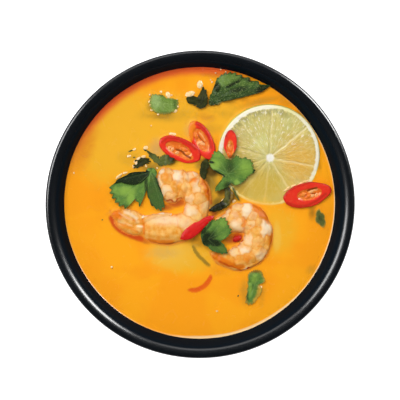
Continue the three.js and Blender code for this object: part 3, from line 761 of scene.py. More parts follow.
# the chilli: slanting slices with a hollow, its seeds and a pale heart, and two scraps of wall
chilli = {
    "segments": 56, "hollowDepth": 0.85, "voxel": 0.2, "rounding": 8,
    "seedHalf": (1.15, 0.8, 0.45), "tongueHalf": (2.2, 1.1, 0.55),
    "shade": tint(140, 24, 10),
    "skin": tint(210, 26, 20),
    "cut": tint(230, 48, 28),
    "cutEdge": tint(230, 92, 54),
    "heart": tint(226, 108, 26),
    "heartPale": tint(238, 140, 52),
    "seed": tint(242, 182, 112),
    "slit": tint(150, 66, 10),
    "film": tint(238, 136, 14),
}
slices = {
    "chilliLeft": {
        "node": "chilli_slice_left", "at": (-10.4, 28.8, 56.2), "half": (11.8, 6), "thickness": 3,
        "turnDeg": -23.5, "rollDeg": 7, "hollow": 0.58, "slip": (-0.08, -0.03),
        "seeds": [(-3.7, -1.5, 84), (-5.6, -1.7, -76), (-0.8, -2.2, 44)],
        "tongue": [(2.1, 0.8), (4.8, -0.1)],
        "marks": {
            "core": [
                dab((-3.8, 0.2), (3.1, 1.7), 1, 0.5, turnDeg=14),
                stroke([(2.4, -2.5), (5.4, -2.9), (7.1, -1.6)], 1, 1, 0.7),
            ],
            "pale": [
                dab((-5.1, -0.7), (1, 0.8), 0.7, 0.6, turnDeg=24),
                stroke([(0.7, 0.7), (2.9, 0.2), (5.9, -0.2)], 0.9, 1, 0.5),
            ],
            "slit": [
                stroke([(-1.8, -0.7), (1, -0.6), (4, -1.6), (6.6, -1.8)], 0.5, 1, 0.7),
                stroke([(1.1, 1.9), (2.8, 1.9)], 0.3, 0.6, 0.8),
            ],
            "dark": [stroke([(-10, 0), (-8.5, 3.2), (-3, 4.8), (4.4, 4.6), (7.2, 3.5)], 0.6, 0.7, 0.8)],
        },
    },
    "chilliTop": {
        "node": "chilli_slice_top", "at": (1, 33.5, 56), "half": (11, 5.4), "thickness": 3,
        "turnDeg": -62, "rollDeg": 12, "hollow": 0.62, "slip": (0, 0),
        "seeds": [(0.6, -1.1, 82), (1.9, -0.3, 32), (0.5, -2.4, -58), (1.1, -5.1, -78), (3.3, -4.8, 12)],
        "tongue": [(-3.8, -1.6), (3.6, -2.1)],
        "marks": {
            "film": [
                stroke([(-11.5, 0.4), (-9.3, -3.1), (-5.4, -5.8), (-1.2, -7.7), (1, -8)], 2, 1, 0.5),
                stroke([(-8.3, -0.1), (-6, -2.5), (-3.1, -4.7)], 1.1, 0.75, 0.9),
            ],
            "pale": [
                dab((0.8, -1.4), (1.7, 1), 0.9, 0.6, turnDeg=42),
                dab((-3.8, -1.6), (0.8, 1.1), 0.6, 0.7, turnDeg=62),
                stroke([(-4.3, 0.7), (-1.6, 1.3), (0.8, 1.5)], 0.5, 0.7, 0.8),
            ],
            "slit": [
                stroke([(-3.2, -0.5), (-0.6, -0.1), (1.7, 0.4)], 0.5, 0.6, 0.9),
                stroke([(-1.2, -5.6), (2, -5), (4.6, -4.6)], 0.4, 0.5, 0.9),
            ],
            "dark": [stroke([(-8.9, 2), (-4.9, 4), (0, 4.3), (5.6, 2.8)], 0.6, 0.7, 0.8)],
        },
    },
    "chilliOnLime": {
        "node": "chilli_slice_lime", "at": (15.5, 31.6, 59.3), "half": (7.4, 3.5), "thickness": 2.2,
        "turnDeg": 87, "rollDeg": -3, "hollow": 0.42, "slip": (-0.3, 0), "pinch": (0.45, -1),
        "seeds": [(-0.4, 0.7, -7)], "tongue": [(0.9, 0.3), (-2.4, -0.2)],
        "marks": {
            "core": [dab((-3, -0.1), (1.8, 5.4), 1, 0.5, turnDeg=-87)],
            "pale": [dab((0.1, 0.5), (0.8, 1.6), 0.7, 0.8, turnDeg=-87)],
            "slit": [dab((-7.4, -0.4), (1.1, 1.9), 0.8, 0.8, turnDeg=-87)],
            "dark": [stroke([(3.6, 2.5), (6.5, 1.6), (7.5, 0.1), (6.2, -1.5)], 0.5, 0.8, 0.8)],
        },
    },
    "chilliRight": {
        "node": "chilli_slice_right", "at": (56.1, 5, 57), "half": (12.8, 6.5), "thickness": 2.8,
        "turnDeg": 13, "rollDeg": 4, "hollow": 0.46, "slip": (0.06, 0), "pinch": (0.22, 1),
        "seeds": [(2.2, -1.1, 7), (4.4, -1.1, 47), (2.2, 1.2, 17)], "tongue": [(-2.5, 0.6), (0.1, -0.9)],
        "marks": {
            "core": [
                dab((-1.5, 0.3), (3.6, 2.4), 1, 0.5, turnDeg=-13),
                stroke([(0.1, -0.9), (5.8, 0.5)], 1.6, 1, 0.6),
            ],
            "pale": [
                dab((-2.8, 0.6), (1.6, 1.3), 0.6, 0.8, turnDeg=-13),
                stroke([(1.1, 1.3), (3.3, 1.6), (5.2, 1.6)], 0.5, 1, 0.7),
            ],
            "slit": [
                stroke([(0.5, 2.1), (3, 2.5), (5.2, 2.7)], 0.5, 1, 0.7),
                stroke([(1.9, 0.1), (4.5, -0.3)], 0.4, 0.6, 0.8),
            ],
            "dark": [
                stroke([(-12, 2.3), (-8.9, 4.5), (-3.2, 5.8), (3.3, 6.2), (9.5, 5.3)], 0.5, 0.6, 0.8),
                stroke([(-11.3, -1.7), (-7.1, -4.5), (-1.4, -5.4), (4.3, -4), (9.1, -1.6)], 0.7, 0.7, 0.8),
            ],
        },
    },
}
chilliPaint = ["skin", "heart", "seed", "core", "pale", "slit", "film", "dark"]


def chilliLook(coords):
    skin, heart, seed, core, pale, slit, film, dark = (painted(coords, name) for name in chilliPaint)
    cloud = grain(coords, 1.6, detail=3)
    fine = grain(coords, 0.4, detail=2)
    colour = blend(skin, chilli["cut"], chilli["skin"])
    colour = blend(fade(cloud, 0.5, 0.72) * (1 - skin) * 0.35, colour, chilli["cutEdge"])
    colour = blend(dark * 0.6, colour, chilli["shade"])
    inside = blend(fade(cloud, 0.42, 0.66), chilli["heart"], chilli["heartPale"])
    colour = blend(fade(heart * 0.8 + core + (cloud - 0.5) * 0.4, 0.2, 0.8), colour, inside)
    colour = blend(fade(pale + (cloud - 0.5) * 0.4, 0.2, 0.9) * 0.8, colour, chilli["seed"])
    colour = lay(colour, chilli["slit"], slit, cloud, 0.3, 0.1, 0.8)
    colour = blend(seed * 0.85, colour, chilli["seed"])
    return {
        "Base Color": blend(fade(film, 0.1, 0.8) * 0.9, colour, chilli["film"]),
        "Normal": relief(fine * 0.5 + cloud, 0.12, 0.5),
    }


# The rings of a slice of radius 1, from its underside out over the skin and into the hollow
def sliceProfile(thickness, hollow):
    top = thickness / 2
    return [[0.86, -top], [0.96, -0.85 * top], [1, -0.3 * top], [1, 0.45 * top], [0.975, 0.85 * top],
            [0.92, top], [hollow + 0.1, top], [hollow + 0.03, 0.9 * top], [hollow, top - 0.5],
            [hollow - 0.08, top - 0.95], [0.5 * hollow, top - 1.1], [0.1, top - 1.05]]


def seedPart(place, half, turnDeg, tone):
    part = blob(place, half, turnDeg)
    carve(part, chilliPaint[:3], lambda spot, normal: (spot, 0, *tone))
    return part


def dressSlice(name, slicing, material):
    long, short = slicing["half"]
    hollow, thickness = slicing["hollow"], slicing["thickness"]
    ring = ringBody(name, sliceProfile(thickness, hollow), chilli["segments"])
    slipX, slipY = slicing["slip"]

    # unit disc to the oval: the hollow slips to one side, and the wall's thickness wanders
    def shape(place, normal):
        out = math.hypot(place.x, place.y)
        inward = 1 - smooth(out, hollow - 0.05, 1)
        wander = 1 + 0.045 * bumps(Vector((2 * place.x, 2 * place.y, 0)), 1, long)
        x = (place.x * wander + slipX * inward) * long
        y = (place.y * wander + slipY * inward) * short
        pinch, towards = slicing.get("pinch", (0, 1))
        y *= 1 - pinch * smooth(towards * place.x, 0.1, 1)
        z = place.z + 0.12 * bumps(Vector((x, y, 0)), 2.4, short)
        top = smooth(place.z, 0, 0.4)
        heart = 1 - smooth(out, hollow - 0.06, hollow + 0.08)
        skin = max(smooth(out, 0.93, 0.99), 1 - top)
        return Vector((x, y, z)), skin, heart * top

    def paint(place, normal):
        return place, *[marksAt(slicing["marks"], kind, place.x, place.y) for kind in chilliPaint[3:]]

    carve(ring, ["skin", "heart"], shape)
    withModifier(ring, "SUBSURF", levels=2, render_levels=2)
    carve(ring, chilliPaint[3:], paint)
    floor = thickness / 2 - chilli["hollowDepth"]
    parts = [ring]
    for x, y, turnDeg in slicing["seeds"]:
        parts.append(seedPart((x, y, floor), chilli["seedHalf"], turnDeg, (0.3, 1)))
    for index, (x, y) in enumerate(slicing["tongue"]):
        parts.append(seedPart((x, y, floor - 0.1), chilli["tongueHalf"], 20 * index, (1, 0)))
    piece = join(name, parts)
    turn = Matrix.Rotation(math.radians(slicing["turnDeg"]), 4, "Z")
    roll = Matrix.Rotation(math.radians(slicing["rollDeg"]), 4, "X")
    settle(piece, Matrix.Translation(Vector(slicing["at"]) * mm) @ turn @ roll)
    clean(piece)
    finish(piece, material, "chilli", slicing["node"])
    return piece


def dressScrap(name, node, material, swell, dark):
    scrap = copyOf(node, name)
    soften(scrap, chilli["voxel"], chilli["rounding"])

    def shape(place, normal):
        lift = 0.16 * bumps(place, 1.7, 4) + 0.05 * bumps(place, 0.6, 2)
        return place + normal * (swell + lift), 1, 0, 0, dark * (0.7 + 0.3 * bumps(place, 1.2, 8))

    carve(scrap, ["skin", "heart", "seed", "dark"], shape)
    clean(scrap)
    finish(scrap, material, "chilli", node)
    return scrap


def dressChilli():
    material = makeMaterial("chilliFlesh", chilliLook, moist(0.3, 0.3, 0.08, (1, 0.3, 0.2), 0.8))
    pieces = [dressSlice(name, slicing, material) for name, slicing in slices.items()]
    pieces.append(dressScrap("chilliStrip", "chilli_strip", material, 0, 0))
    pieces.append(dressScrap("chilliScrap", "chilli_scrap", material, 0.5, 0.9))
    print("chilli sliced")
    return pieces


# the leaves: sheets drawn round the point where the lobes meet, out to the outline of their solids.
# rise, ripple and waves give the same lie as the solids'. A fold lists [reach, direction]: what lies
# before it in direction is the dark fold, lifted. dark is how dark the blade is near the stalk.
soupOver = tint(214, 158, 48)
leafTones = {
    "fresh": {"light": tint(128, 163, 62), "mid": tint(80, 118, 48), "dark": tint(24, 38, 16),
              "vein": tint(136, 168, 92), "speck": tint(150, 176, 84), "specks": 0.25},
    "deep": {"light": tint(102, 132, 58), "mid": tint(56, 84, 36), "dark": tint(24, 34, 14),
             "vein": tint(92, 122, 66), "speck": tint(152, 172, 92), "specks": 0.6},
    "olive": {"light": tint(112, 118, 54), "mid": tint(84, 92, 38), "dark": tint(46, 46, 18),
              "vein": tint(116, 120, 64), "speck": tint(130, 134, 70), "specks": 0.35},
    "black": {"light": tint(84, 84, 32), "mid": tint(40, 46, 16), "dark": tint(24, 26, 8),
              "vein": tint(64, 68, 36), "speck": tint(92, 94, 44), "specks": 0.3},
    "sage": {"light": tint(142, 168, 98), "mid": tint(104, 134, 50), "dark": tint(58, 84, 30),
             "vein": tint(140, 162, 90), "speck": tint(176, 194, 116), "specks": 0.5},
}
# counts lists, for leaves wider than the first number, the steps round and the rings
leafSheet = {
    "thickness": 0.42, "counts": [(16, 320, 28), (10, 240, 20), (0, 140, 12)], "teeth": (0.035, 46),
    "ribWidth": 0.42, "ribGap": 2.6, "ribDepth": 0.14, "crinkleSizes": (2.6, 1.2),
    "foldRise": 0.7, "foldEdgeDeg": 1.5, "foldStartDeg": (150, 160),
}
leaves = {
    "leafLeft": {
        "node": "leaf_left", "heart": (-25.6, 17.1, 57.5), "rise": (0.02, -0.05), "ripple": 0.4,
        "waves": 5, "tone": "fresh", "veinsDeg": [193, 222, 251, 287], "dark": 0.15,
        "fold": [(0, 236), (7.6, 227), (11, 217), (14, 206), (16.4, 199), (24, 196)],
        "shades": [(262, 318, 0.5)], "crinkle": 0.16,
        "marks": {
            "light": [
                dab((-38.6, 7.3), (5.2, 2.6), 0.8, 0.7), dab((-36, 3.1), (2.1, 3.6), 1, 0.7),
                dab((-43.7, 7.8), (2.1, 2.1), 0.5), dab((-25.1, 14), (1.6, 2.6), 0.4, 0.7),
            ],
            "dark": [
                dab((-39.7, -1.1), (3.1, 1.6), 0.5, 0.7), dab((-20.4, -0.7), (2.3, 2.6), 0.45, 0.7),
                dab((-30.8, -1.1), (1.1, 1.6), 0.9, 0.6),
                stroke([(-28.2, 13), (-27.7, 4.6), (-24.6, -1.2)], 1.1, 0.7, 0.8),
                stroke([(-23, 14), (-20.9, 7.7), (-17.8, 2.5)], 0.8, 0.7, 0.8),
            ],
        },
    },
    "leafDarkLeft": {
        "node": "leaf_dark_left", "heart": (-30.4, 22.3, 56.4), "rise": (0.02, 0.02), "ripple": 0.2,
        "waves": 3, "tone": "black", "veinsDeg": [30, 215], "dark": 0.5, "crinkle": 0.15,
        "teeth": (0.14, 15),
    },
    "leafByChilli": {
        "node": "leaf_by_chilli", "heart": (-20.5, 21.9, 56.3), "rise": (0.02, 0), "ripple": 0.15,
        "waves": 4, "tone": "olive", "veinsDeg": [20, 137], "dark": 0.3, "crinkle": 0.2,
        "teeth": (0.1, 19), "lean": 2.2,
        "marks": {
            "dark": [
                dab((-26, 26.9), (2.1, 1.6), 0.6, 0.7, turnDeg=-40),
                dab((-14.1, 24.3), (2.6, 2.1), 0.9, 0.7), dab((-16.7, 27.4), (3.1, 0.8), 0.5, 0.7),
            ],
            "light": [dab((-19.3, 23.3), (2.6, 1.6), 0.4, 0.7)],
        },
    },
    "leafOnLime": {
        "node": "leaf_on_lime", "heart": (14.3, 16.1, 58.9), "rise": (0, 0.02), "ripple": 0.4, "waves": 5,
        "tone": "fresh", "veinsDeg": [12, 40, 121, 150, 232, 305], "dark": 0.35, "crinkle": 0.2,
        "marks": {
            "light": [
                dab((7.1, 21.3), (3.1, 3.1), 0.9, 0.6), dab((8.6, 26.5), (2.6, 2.1), 0.6, 0.6),
                dab((23.7, 19.2), (4.1, 4.7), 0.75, 0.8), dab((19, 11.4), (1.6, 2.1), 0.8, 0.6),
                dab((12.3, 26), (2.1, 2.6), 0.4, 0.6),
            ],
            "dark": [
                dab((15.3, 19.8), (3, 5), 0.6, 0.9), dab((5.5, 22.3), (1.8, 0.7), 1, 0.6, turnDeg=-10),
                dab((14.9, 9.8), (3.1, 2.6), 0.7, 0.7), dab((28.4, 17.1), (1.3, 1.9), 0.9, 0.6),
                dab((23.7, 24.9), (3.1, 1), 0.5, 0.7), dab((8.6, 8.8), (1.6, 2.1), 0.35, 0.7),
                stroke([(4.5, 18.2), (8.1, 17.6), (12.3, 15)], 0.6, 0.8, 0.8),
            ],
        },
    },
    "leafSlip": {
        "node": "leaf_slip_dark", "heart": (1.9, 18.1, 56.6), "rise": (0, 0.02), "ripple": 0.15,
        "waves": 2, "tone": "black", "veinsDeg": [70, 262], "dark": 0.5, "crinkle": 0.1,
    },
    "leafOnPrawn": {
        "node": "leaf_on_prawn", "heart": (3.9, -17.7, 60.4), "rise": (0.015, 0.015), "ripple": 0.22,
        "waves": 4, "tone": "fresh", "veinsDeg": [26, 52, 318], "dark": 0.8, "crinkle": 0.14,
        "shades": [(280, 345, 0.45)],
        "marks": {
            "light": [
                dab((11.7, -8.8), (3.1, 2.6), 0.6, 0.8), dab((7.6, -9.3), (2.1, 2.1), 0.5, 0.6),
                dab((12.2, -16.2), (2.6, 1.6), 0.3, 0.6),
                dab((11.2, -23), (3.1, 1.6), 0.45, 0.6, turnDeg=-20),
            ],
            "dark": [
                dab((3.4, -17.7), (3.1, 4.1), 1, 0.6),
                dab((7.6, -19.8), (3.6, 2.1), 0.95, 0.6, turnDeg=-14),
                dab((1.3, -13), (2.1, 3.1), 0.8, 0.6), dab((14.9, -24.6), (1.8, 1.1), 0.8, 0.6),
                dab((15.9, -14.6), (1.2, 1.6), 0.5, 0.6),
                stroke([(7, -6.2), (4.4, -10.9), (1.3, -14.5)], 0.8, 0.6, 0.8),
            ],
        },
    },
    "leafLongTop": {
        "node": "leaf_long_top", "heart": (6.6, 54, 56.8), "rise": (0, 0.03), "ripple": 0.4, "waves": 8,
        "tone": "deep", "veinsDeg": [12, 30, 56], "dark": 0.5, "crinkle": 0.75, "shades": [(350, 16, 0.5)],
        "marks": {
            "light": [
                dab((12.8, 64.6), (4.7, 2.6), 1, 0.6, turnDeg=20),
                dab((17.5, 66.7), (3.1, 2.1), 0.9, 0.6), dab((21.1, 63.1), (3.1, 1.6), 0.5, 0.6),
                dab((6.6, 62.6), (1.3, 3.1), 0.4, 0.6), dab((26.3, 62.5), (1.6, 2.1), 0.35, 0.6),
                dab((18.5, 56.4), (7.3, 0.8), 0.3, 0.7, turnDeg=14),
            ],
            "dark": [
                dab((8.7, 61), (1.8, 3.1), 0.85, 0.6),
                dab((19.6, 59.5), (6.2, 1.6), 0.7, 0.7, turnDeg=12),
                dab((32.5, 59.4), (4.1, 2.6), 1, 0.6, turnDeg=12),
                dab((25.8, 64.6), (1.6, 1.2), 0.8, 0.6), dab((6.1, 52.3), (3.1, 2.1), 0.6, 0.6),
                stroke([(13.9, 61), (17, 62.6), (20.1, 64.1)], 0.8, 0.8, 0.8),
            ],
            "film": [stroke([(9.7, 52.2), (17, 53.8), (23.2, 55.3)], 0.8, 0.5, 0.9)],
        },
    },
    "leafDarkTop": {
        "node": "leaf_dark_top", "heart": (0.6, 53.5, 57.2), "rise": (0, 0.03), "ripple": 0.25,
        "waves": 3, "tone": "black", "veinsDeg": [82, 170], "dark": 0.5, "crinkle": 0.2,
        "teeth": (0.07, 13),
    },
    "leafTopLeft": {
        "node": "leaf_top_left", "heart": (-19.3, 52.5, 56.2), "rise": (0, 0), "ripple": 0.2, "waves": 5,
        "tone": "sage", "veinsDeg": [0, 75, 150, 225, 300], "dark": 0.1, "crinkle": 0.3, "sunk": 0.35,
        "teeth": (0.05, 27),
        "marks": {
            "light": [dab((-22.8, 53.8), (2.6, 3.6), 0.9, 0.6)],
            "dark": [
                dab((-13, 52.3), (1.2, 3.1), 0.6, 0.7), dab((-17.7, 47.6), (4.7, 1.2), 0.5, 0.7),
                dab((-19.7, 56.9), (2.1, 0.8), 0.6, 0.6),
            ],
        },
    },
    "leafBottom": {
        "node": "leaf_bottom", "heart": (28.6, -42.6, 56.3), "rise": (0, 0), "ripple": 0.25, "waves": 6,
        "tone": "fresh", "veinsDeg": [72, 250], "dark": 0.3, "crinkle": 0.35, "sunk": 0.55,
        "marks": {
            "dark": [dab((24.6, -49.1), (1.2, 3.1), 0.6, 0.7), dab((28.3, -35.3), (3.6, 1), 0.8, 0.7)],
            "light": [
                dab((28.3, -39.5), (2.1, 3.1), 0.7, 0.7),
                stroke([(26.2, -42.2), (26.8, -46), (25.7, -49.1)], 1, 0.7, 0.8),
            ],
            "film": [
                stroke([(31.5, -43.9), (31, -47.6), (28.9, -51.3)], 1.3, 0.8, 0.8),
                stroke([(24.1, -42.2), (24.4, -37.4)], 0.7, 0.5, 0.9),
            ],
        },
    },
    "leafTiny": {
        "node": "leaf_tiny_right", "heart": (63, -7.5, 56.1), "rise": (0, 0), "ripple": 0.1, "waves": 2,
        "tone": "olive", "veinsDeg": [96, 285], "dark": 0.6, "crinkle": 0.1, "sunk": 0.8,
    },
}
strips = {
    "stemOnLime": {
        "node": "stem_on_lime", "tone": "olive",
    },
    "bladeDark": {
        "node": "blade_dark", "tone": "black", "swell": 0.55, "shift": (-0.9, 1), "ragged": 0.3,
        "marks": {
            "light": [stroke([(15.5, 8.6), (15.5, 3.9), (13.7, -0.3)], 1.9, 1, 0.8)],
            "dark": [stroke([(5.1, -4), (8.2, -1.6), (11.9, -0.8)], 1.9, 0.9, 0.7)],
            "film": [stroke([(17.1, 9.1), (17.6, 4.4), (16.6, 0.2)], 1, 0.5, 0.9)],
        },
    },
}
stripShape = {"voxel": 0.2, "rounding": 6, "ragged": 0.14}
leafPaint = ["vein", "shade", "light", "film"]


# The outline of a leaf's solid as [direction, reach] round its heart
def outlineOf(node, heart):
    reaches = {}
    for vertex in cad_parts[node].data.vertices:
        x, y = vertex.co.x / mm - heart[0], vertex.co.y / mm - heart[1]
        reach = math.hypot(x, y)
        if reach > 0.05:
            key = round(math.degrees(math.atan2(y, x)) % 360, 1)
            reaches[key] = max(reaches.get(key, 0), reach)
    return sorted(reaches.items())


# Where a ray from the heart meets the straight runs of the outline
def reachAt(outline, deg):
    for (fromDeg, fromReach), (toDeg, toReach) in zip(outline, [*outline[1:], outline[0]]):
        span = (toDeg - fromDeg) % 360
        part = (deg - fromDeg) % 360
        if part <= span:
            angle, whole = math.radians(part), math.radians(span)
            under = fromReach * math.sin(angle) + toReach * math.sin(whole - angle)
            return fromReach * toReach * math.sin(whole) / under if under > 1e-6 else fromReach
    return outline[0][1]


def turnGap(a, b):
    return abs((a - b + 180) % 360 - 180)


def leafLook(tone):
    def look(coords):
        vein, shade, light, film = (painted(coords, name) for name in leafPaint)
        cloud = grain(coords, 2.4, detail=4, roughness=0.6)
        fine = grain(coords, 0.5, detail=2)
        colour = blend(fade(cloud, 0.36, 0.7) * 0.35, tone["mid"], tone["light"])
        # the light marks are painted light on the lobes that face the lamps, and shade is painted shade,
        # folds and notches among it, over the leaf's own greens
        colour = lay(colour, tone["light"], light, cloud, 0.5, 0.1, 0.95)
        colour = lay(colour, tone["dark"], shade, cloud, 0.4, 0.05, 0.9)
        colour = blend(fade(vein, 0.3, 1) * (1 - shade * 0.6) * 0.3, colour, tone["vein"])
        colour = blend(fade(fine, 0.54, 0.68) * tone["specks"] * (1 - shade * 0.6), colour, tone["speck"])
        return {
            "Base Color": blend(fade(film + (cloud - 0.5) * 0.6, 0.05, 1) * 0.85, colour, soupOver),
            "Roughness": 0.32 + cloud * 0.2,
            "Normal": relief(fine * 0.6 + cloud, 0.2, 0.6),
        }
    return look


# How strongly the veins show: a midrib, and side ribs that slant off it
def veinAt(leaf, x, y, deg, part):
    nearestDeg = min(leaf["veinsDeg"], key=lambda each: turnGap(each, deg))
    along, across = turnedBy(x, y, nearestDeg)
    midrib = math.exp(-(across / leafSheet["ribWidth"]) ** 2) * (1 - 0.6 * part)
    branch = abs(((along - 1.5 * abs(across)) / leafSheet["ribGap"]) % 1 - 0.5) * 2
    sideRib = smooth(branch, 0.72, 1) * smooth(part, 0.1, 0.3) * 0.55
    return max(midrib, sideRib * (1 - midrib))


# 1 on the folded part of a leaf and 0 beside it
def foldAt(fold, out, deg):
    at = min(max(out, fold[0][0]), fold[-1][0])
    before, after = next((a, b) for a, b in zip(fold, fold[1:]) if at <= b[0])
    edgeDeg = before[1] + (after[1] - before[1]) * (at - before[0]) / (after[0] - before[0])
    softDeg = leafSheet["foldEdgeDeg"]
    return smooth(edgeDeg - deg, -softDeg, softDeg) * smooth(deg, *leafSheet["foldStartDeg"])


def dressLeaf(name, leaf, material):
    heart, outline = leaf["heart"], outlineOf(leaf["node"], leaf["heart"])
    toothSize, teeth = leaf.get("teeth", leafSheet["teeth"])
    widest = max(reach for deg, reach in outline)
    steps, rings = next(counts for least, *counts in leafSheet["counts"] if widest > least)
    bpy.ops.mesh.primitive_circle_add(vertices=steps, radius=mm, fill_type="NOTHING")
    sheet = newest(name)
    editAll()
    drawRings(1, 0, [[1 - k / rings, 0] for k in range(1, rings)])
    bpy.ops.mesh.merge(type="CENTER")
    bpy.ops.object.mode_set(mode="OBJECT")
    spread = 360 / steps
    reaches = [reachAt(outline, k * spread) for k in range(steps)]
    reaches = [(reaches[k - 1] + 2 * reaches[k] + reaches[(k + 1) % steps]) / 4 for k in range(steps)]
    marks = leaf.get("marks", {})
    coarse, fine = leafSheet["crinkleSizes"]

    def shape(place, normal):
        part = math.hypot(place.x, place.y)
        turn = math.atan2(place.y, place.x) % math.tau
        deg = math.degrees(turn)
        reach = reaches[round(deg / spread) % steps]
        toothed = 1 + toothSize * part ** 3 * math.sin(turn * teeth + 2 * math.sin(turn * 5))
        out = reach * part * toothed
        x, y = out * math.cos(turn), out * math.sin(turn)
        vein = veinAt(leaf, x, y, deg, part)
        z = leaf["rise"][0] * x + leaf["rise"][1] * y + leaf.get("lean", 0) * smooth(x, 2, 6)
        z += leaf["ripple"] * part * part * math.sin(leaf["waves"] * turn)
        spot = Vector((x, y, 0))
        crinkle = bumps(spot, coarse, widest) + 0.5 * bumps(spot, fine, 3)
        z += leaf["crinkle"] * crinkle * smooth(part, 0, 0.3)
        z += leafSheet["ribDepth"] * (0.5 - vein)
        shade = leaf["dark"] * (1 - smooth(part, 0.15, 0.7))
        for fromDeg, toDeg, dark in leaf.get("shades", []):
            if (deg - fromDeg) % 360 <= (toDeg - fromDeg) % 360:
                shade = max(shade, dark)
        if "fold" in leaf:
            over = foldAt(leaf["fold"], out, deg)
            shade = max(shade, 0.95 * over)
            z += leafSheet["foldRise"] * over * smooth(out, 1, 5)
        spotX, spotY = heart[0] + x, heart[1] + y
        light, dark, film = (marksAt(marks, kind, spotX, spotY) for kind in ("light", "dark", "film"))
        shade = max(shade, 0.5 * smooth(part, 0.9, 1), dark)
        film = max(leaf.get("sunk", 0) * smooth(part, 0.7, 1), film)
        return Vector((spotX, spotY, heart[2] + z)), vein, shade, light, film

    carve(sheet, leafPaint, shape)
    withModifier(sheet, "SOLIDIFY", thickness=leafSheet["thickness"] * mm, offset=0)
    clean(sheet)
    finish(sheet, material, "herb_dark" if leaf["tone"] == "black" else "herb", leaf["node"])
    return sheet


def dressStrip(name, strip, material):
    piece = copyOf(strip["node"], name)
    soften(piece, stripShape["voxel"], stripShape["rounding"])
    shift, marks = Vector((*strip.get("shift", (0, 0)), 0)), strip.get("marks", {})

    def shape(place, normal):
        vein = smooth(math.sin(5 * place.x + 3 * place.y), 0.6, 1)
        ragged = strip.get("ragged", stripShape["ragged"])
        lift = strip.get("swell", 0) + ragged * bumps(place, 1.3, 6)
        light, dark, film = (marksAt(marks, kind, place.x, place.y) for kind in ("light", "dark", "film"))
        return place + normal * lift + shift, vein, max(0.2 + bumps(place, 3, 1), dark), light, film

    carve(piece, leafPaint, shape)
    clean(piece)
    finish(piece, material, "herb_dark" if strip["tone"] == "black" else "herb", strip["node"])
    return piece


def dressLeaves():
    fixed = {"Specular IOR Level": 0.15}
    materials = {name: makeMaterial("leaf" + name.capitalize(), leafLook(tone), fixed)
                 for name, tone in leafTones.items()}
    pieces = [dressLeaf(name, leaf, materials[leaf["tone"]]) for name, leaf in leaves.items()]
    pieces += [dressStrip(name, strip, materials[strip["tone"]]) for name, strip in strips.items()]
    print("leaves laid out")
    return pieces, materials


# what has sunk just under the soup: an arc of chilli and a stalk
sunk = {
    "sunkChilli": {"path": [(-6.4, -45.3), (-2, -45.4), (2.6, -43), (5.2, -39.3), (5.6, -36.8)],
                   "half": 1.4, "depth": 1.5, "slot": "chilli"},
    "sunkStalk": {"path": [(-3.9, -21.4), (-2.1, -25.5), (1.6, -29.5), (5.6, -32.6)],
                  "half": 0.9, "depth": 1, "slot": "herb"},
}
sunkMesh = {"segments": 12, "rings": 30}


# A long ball drawn out along its path, painted evenly
def dressSunk(name, material, paint):
    item, count = sunk[name], sunkMesh["rings"]
    bpy.ops.mesh.primitive_uv_sphere_add(segments=sunkMesh["segments"], ring_count=count, radius=mm)
    piece = newest(name)
    places = alongPath(item["path"], count + 1)

    def shape(place, normal):
        index = round(math.acos(min(max(place.z, -1), 1)) / math.pi * count)
        middle, direction = places[index]
        side = Vector((-direction.y, direction.x, 0))
        width = item["half"] * (1 - abs(2 * index / count - 1) ** 4) ** 0.5
        out = math.hypot(place.x, place.y) or 1
        spot = middle + side * width * place.x / out
        return spot + Vector((0, 0, soupLevel - item["depth"] + width * place.y / out)), *paint.values()

    carve(piece, list(paint), shape)
    clean(piece)
    finish(piece, material, item["slot"])
    return piece


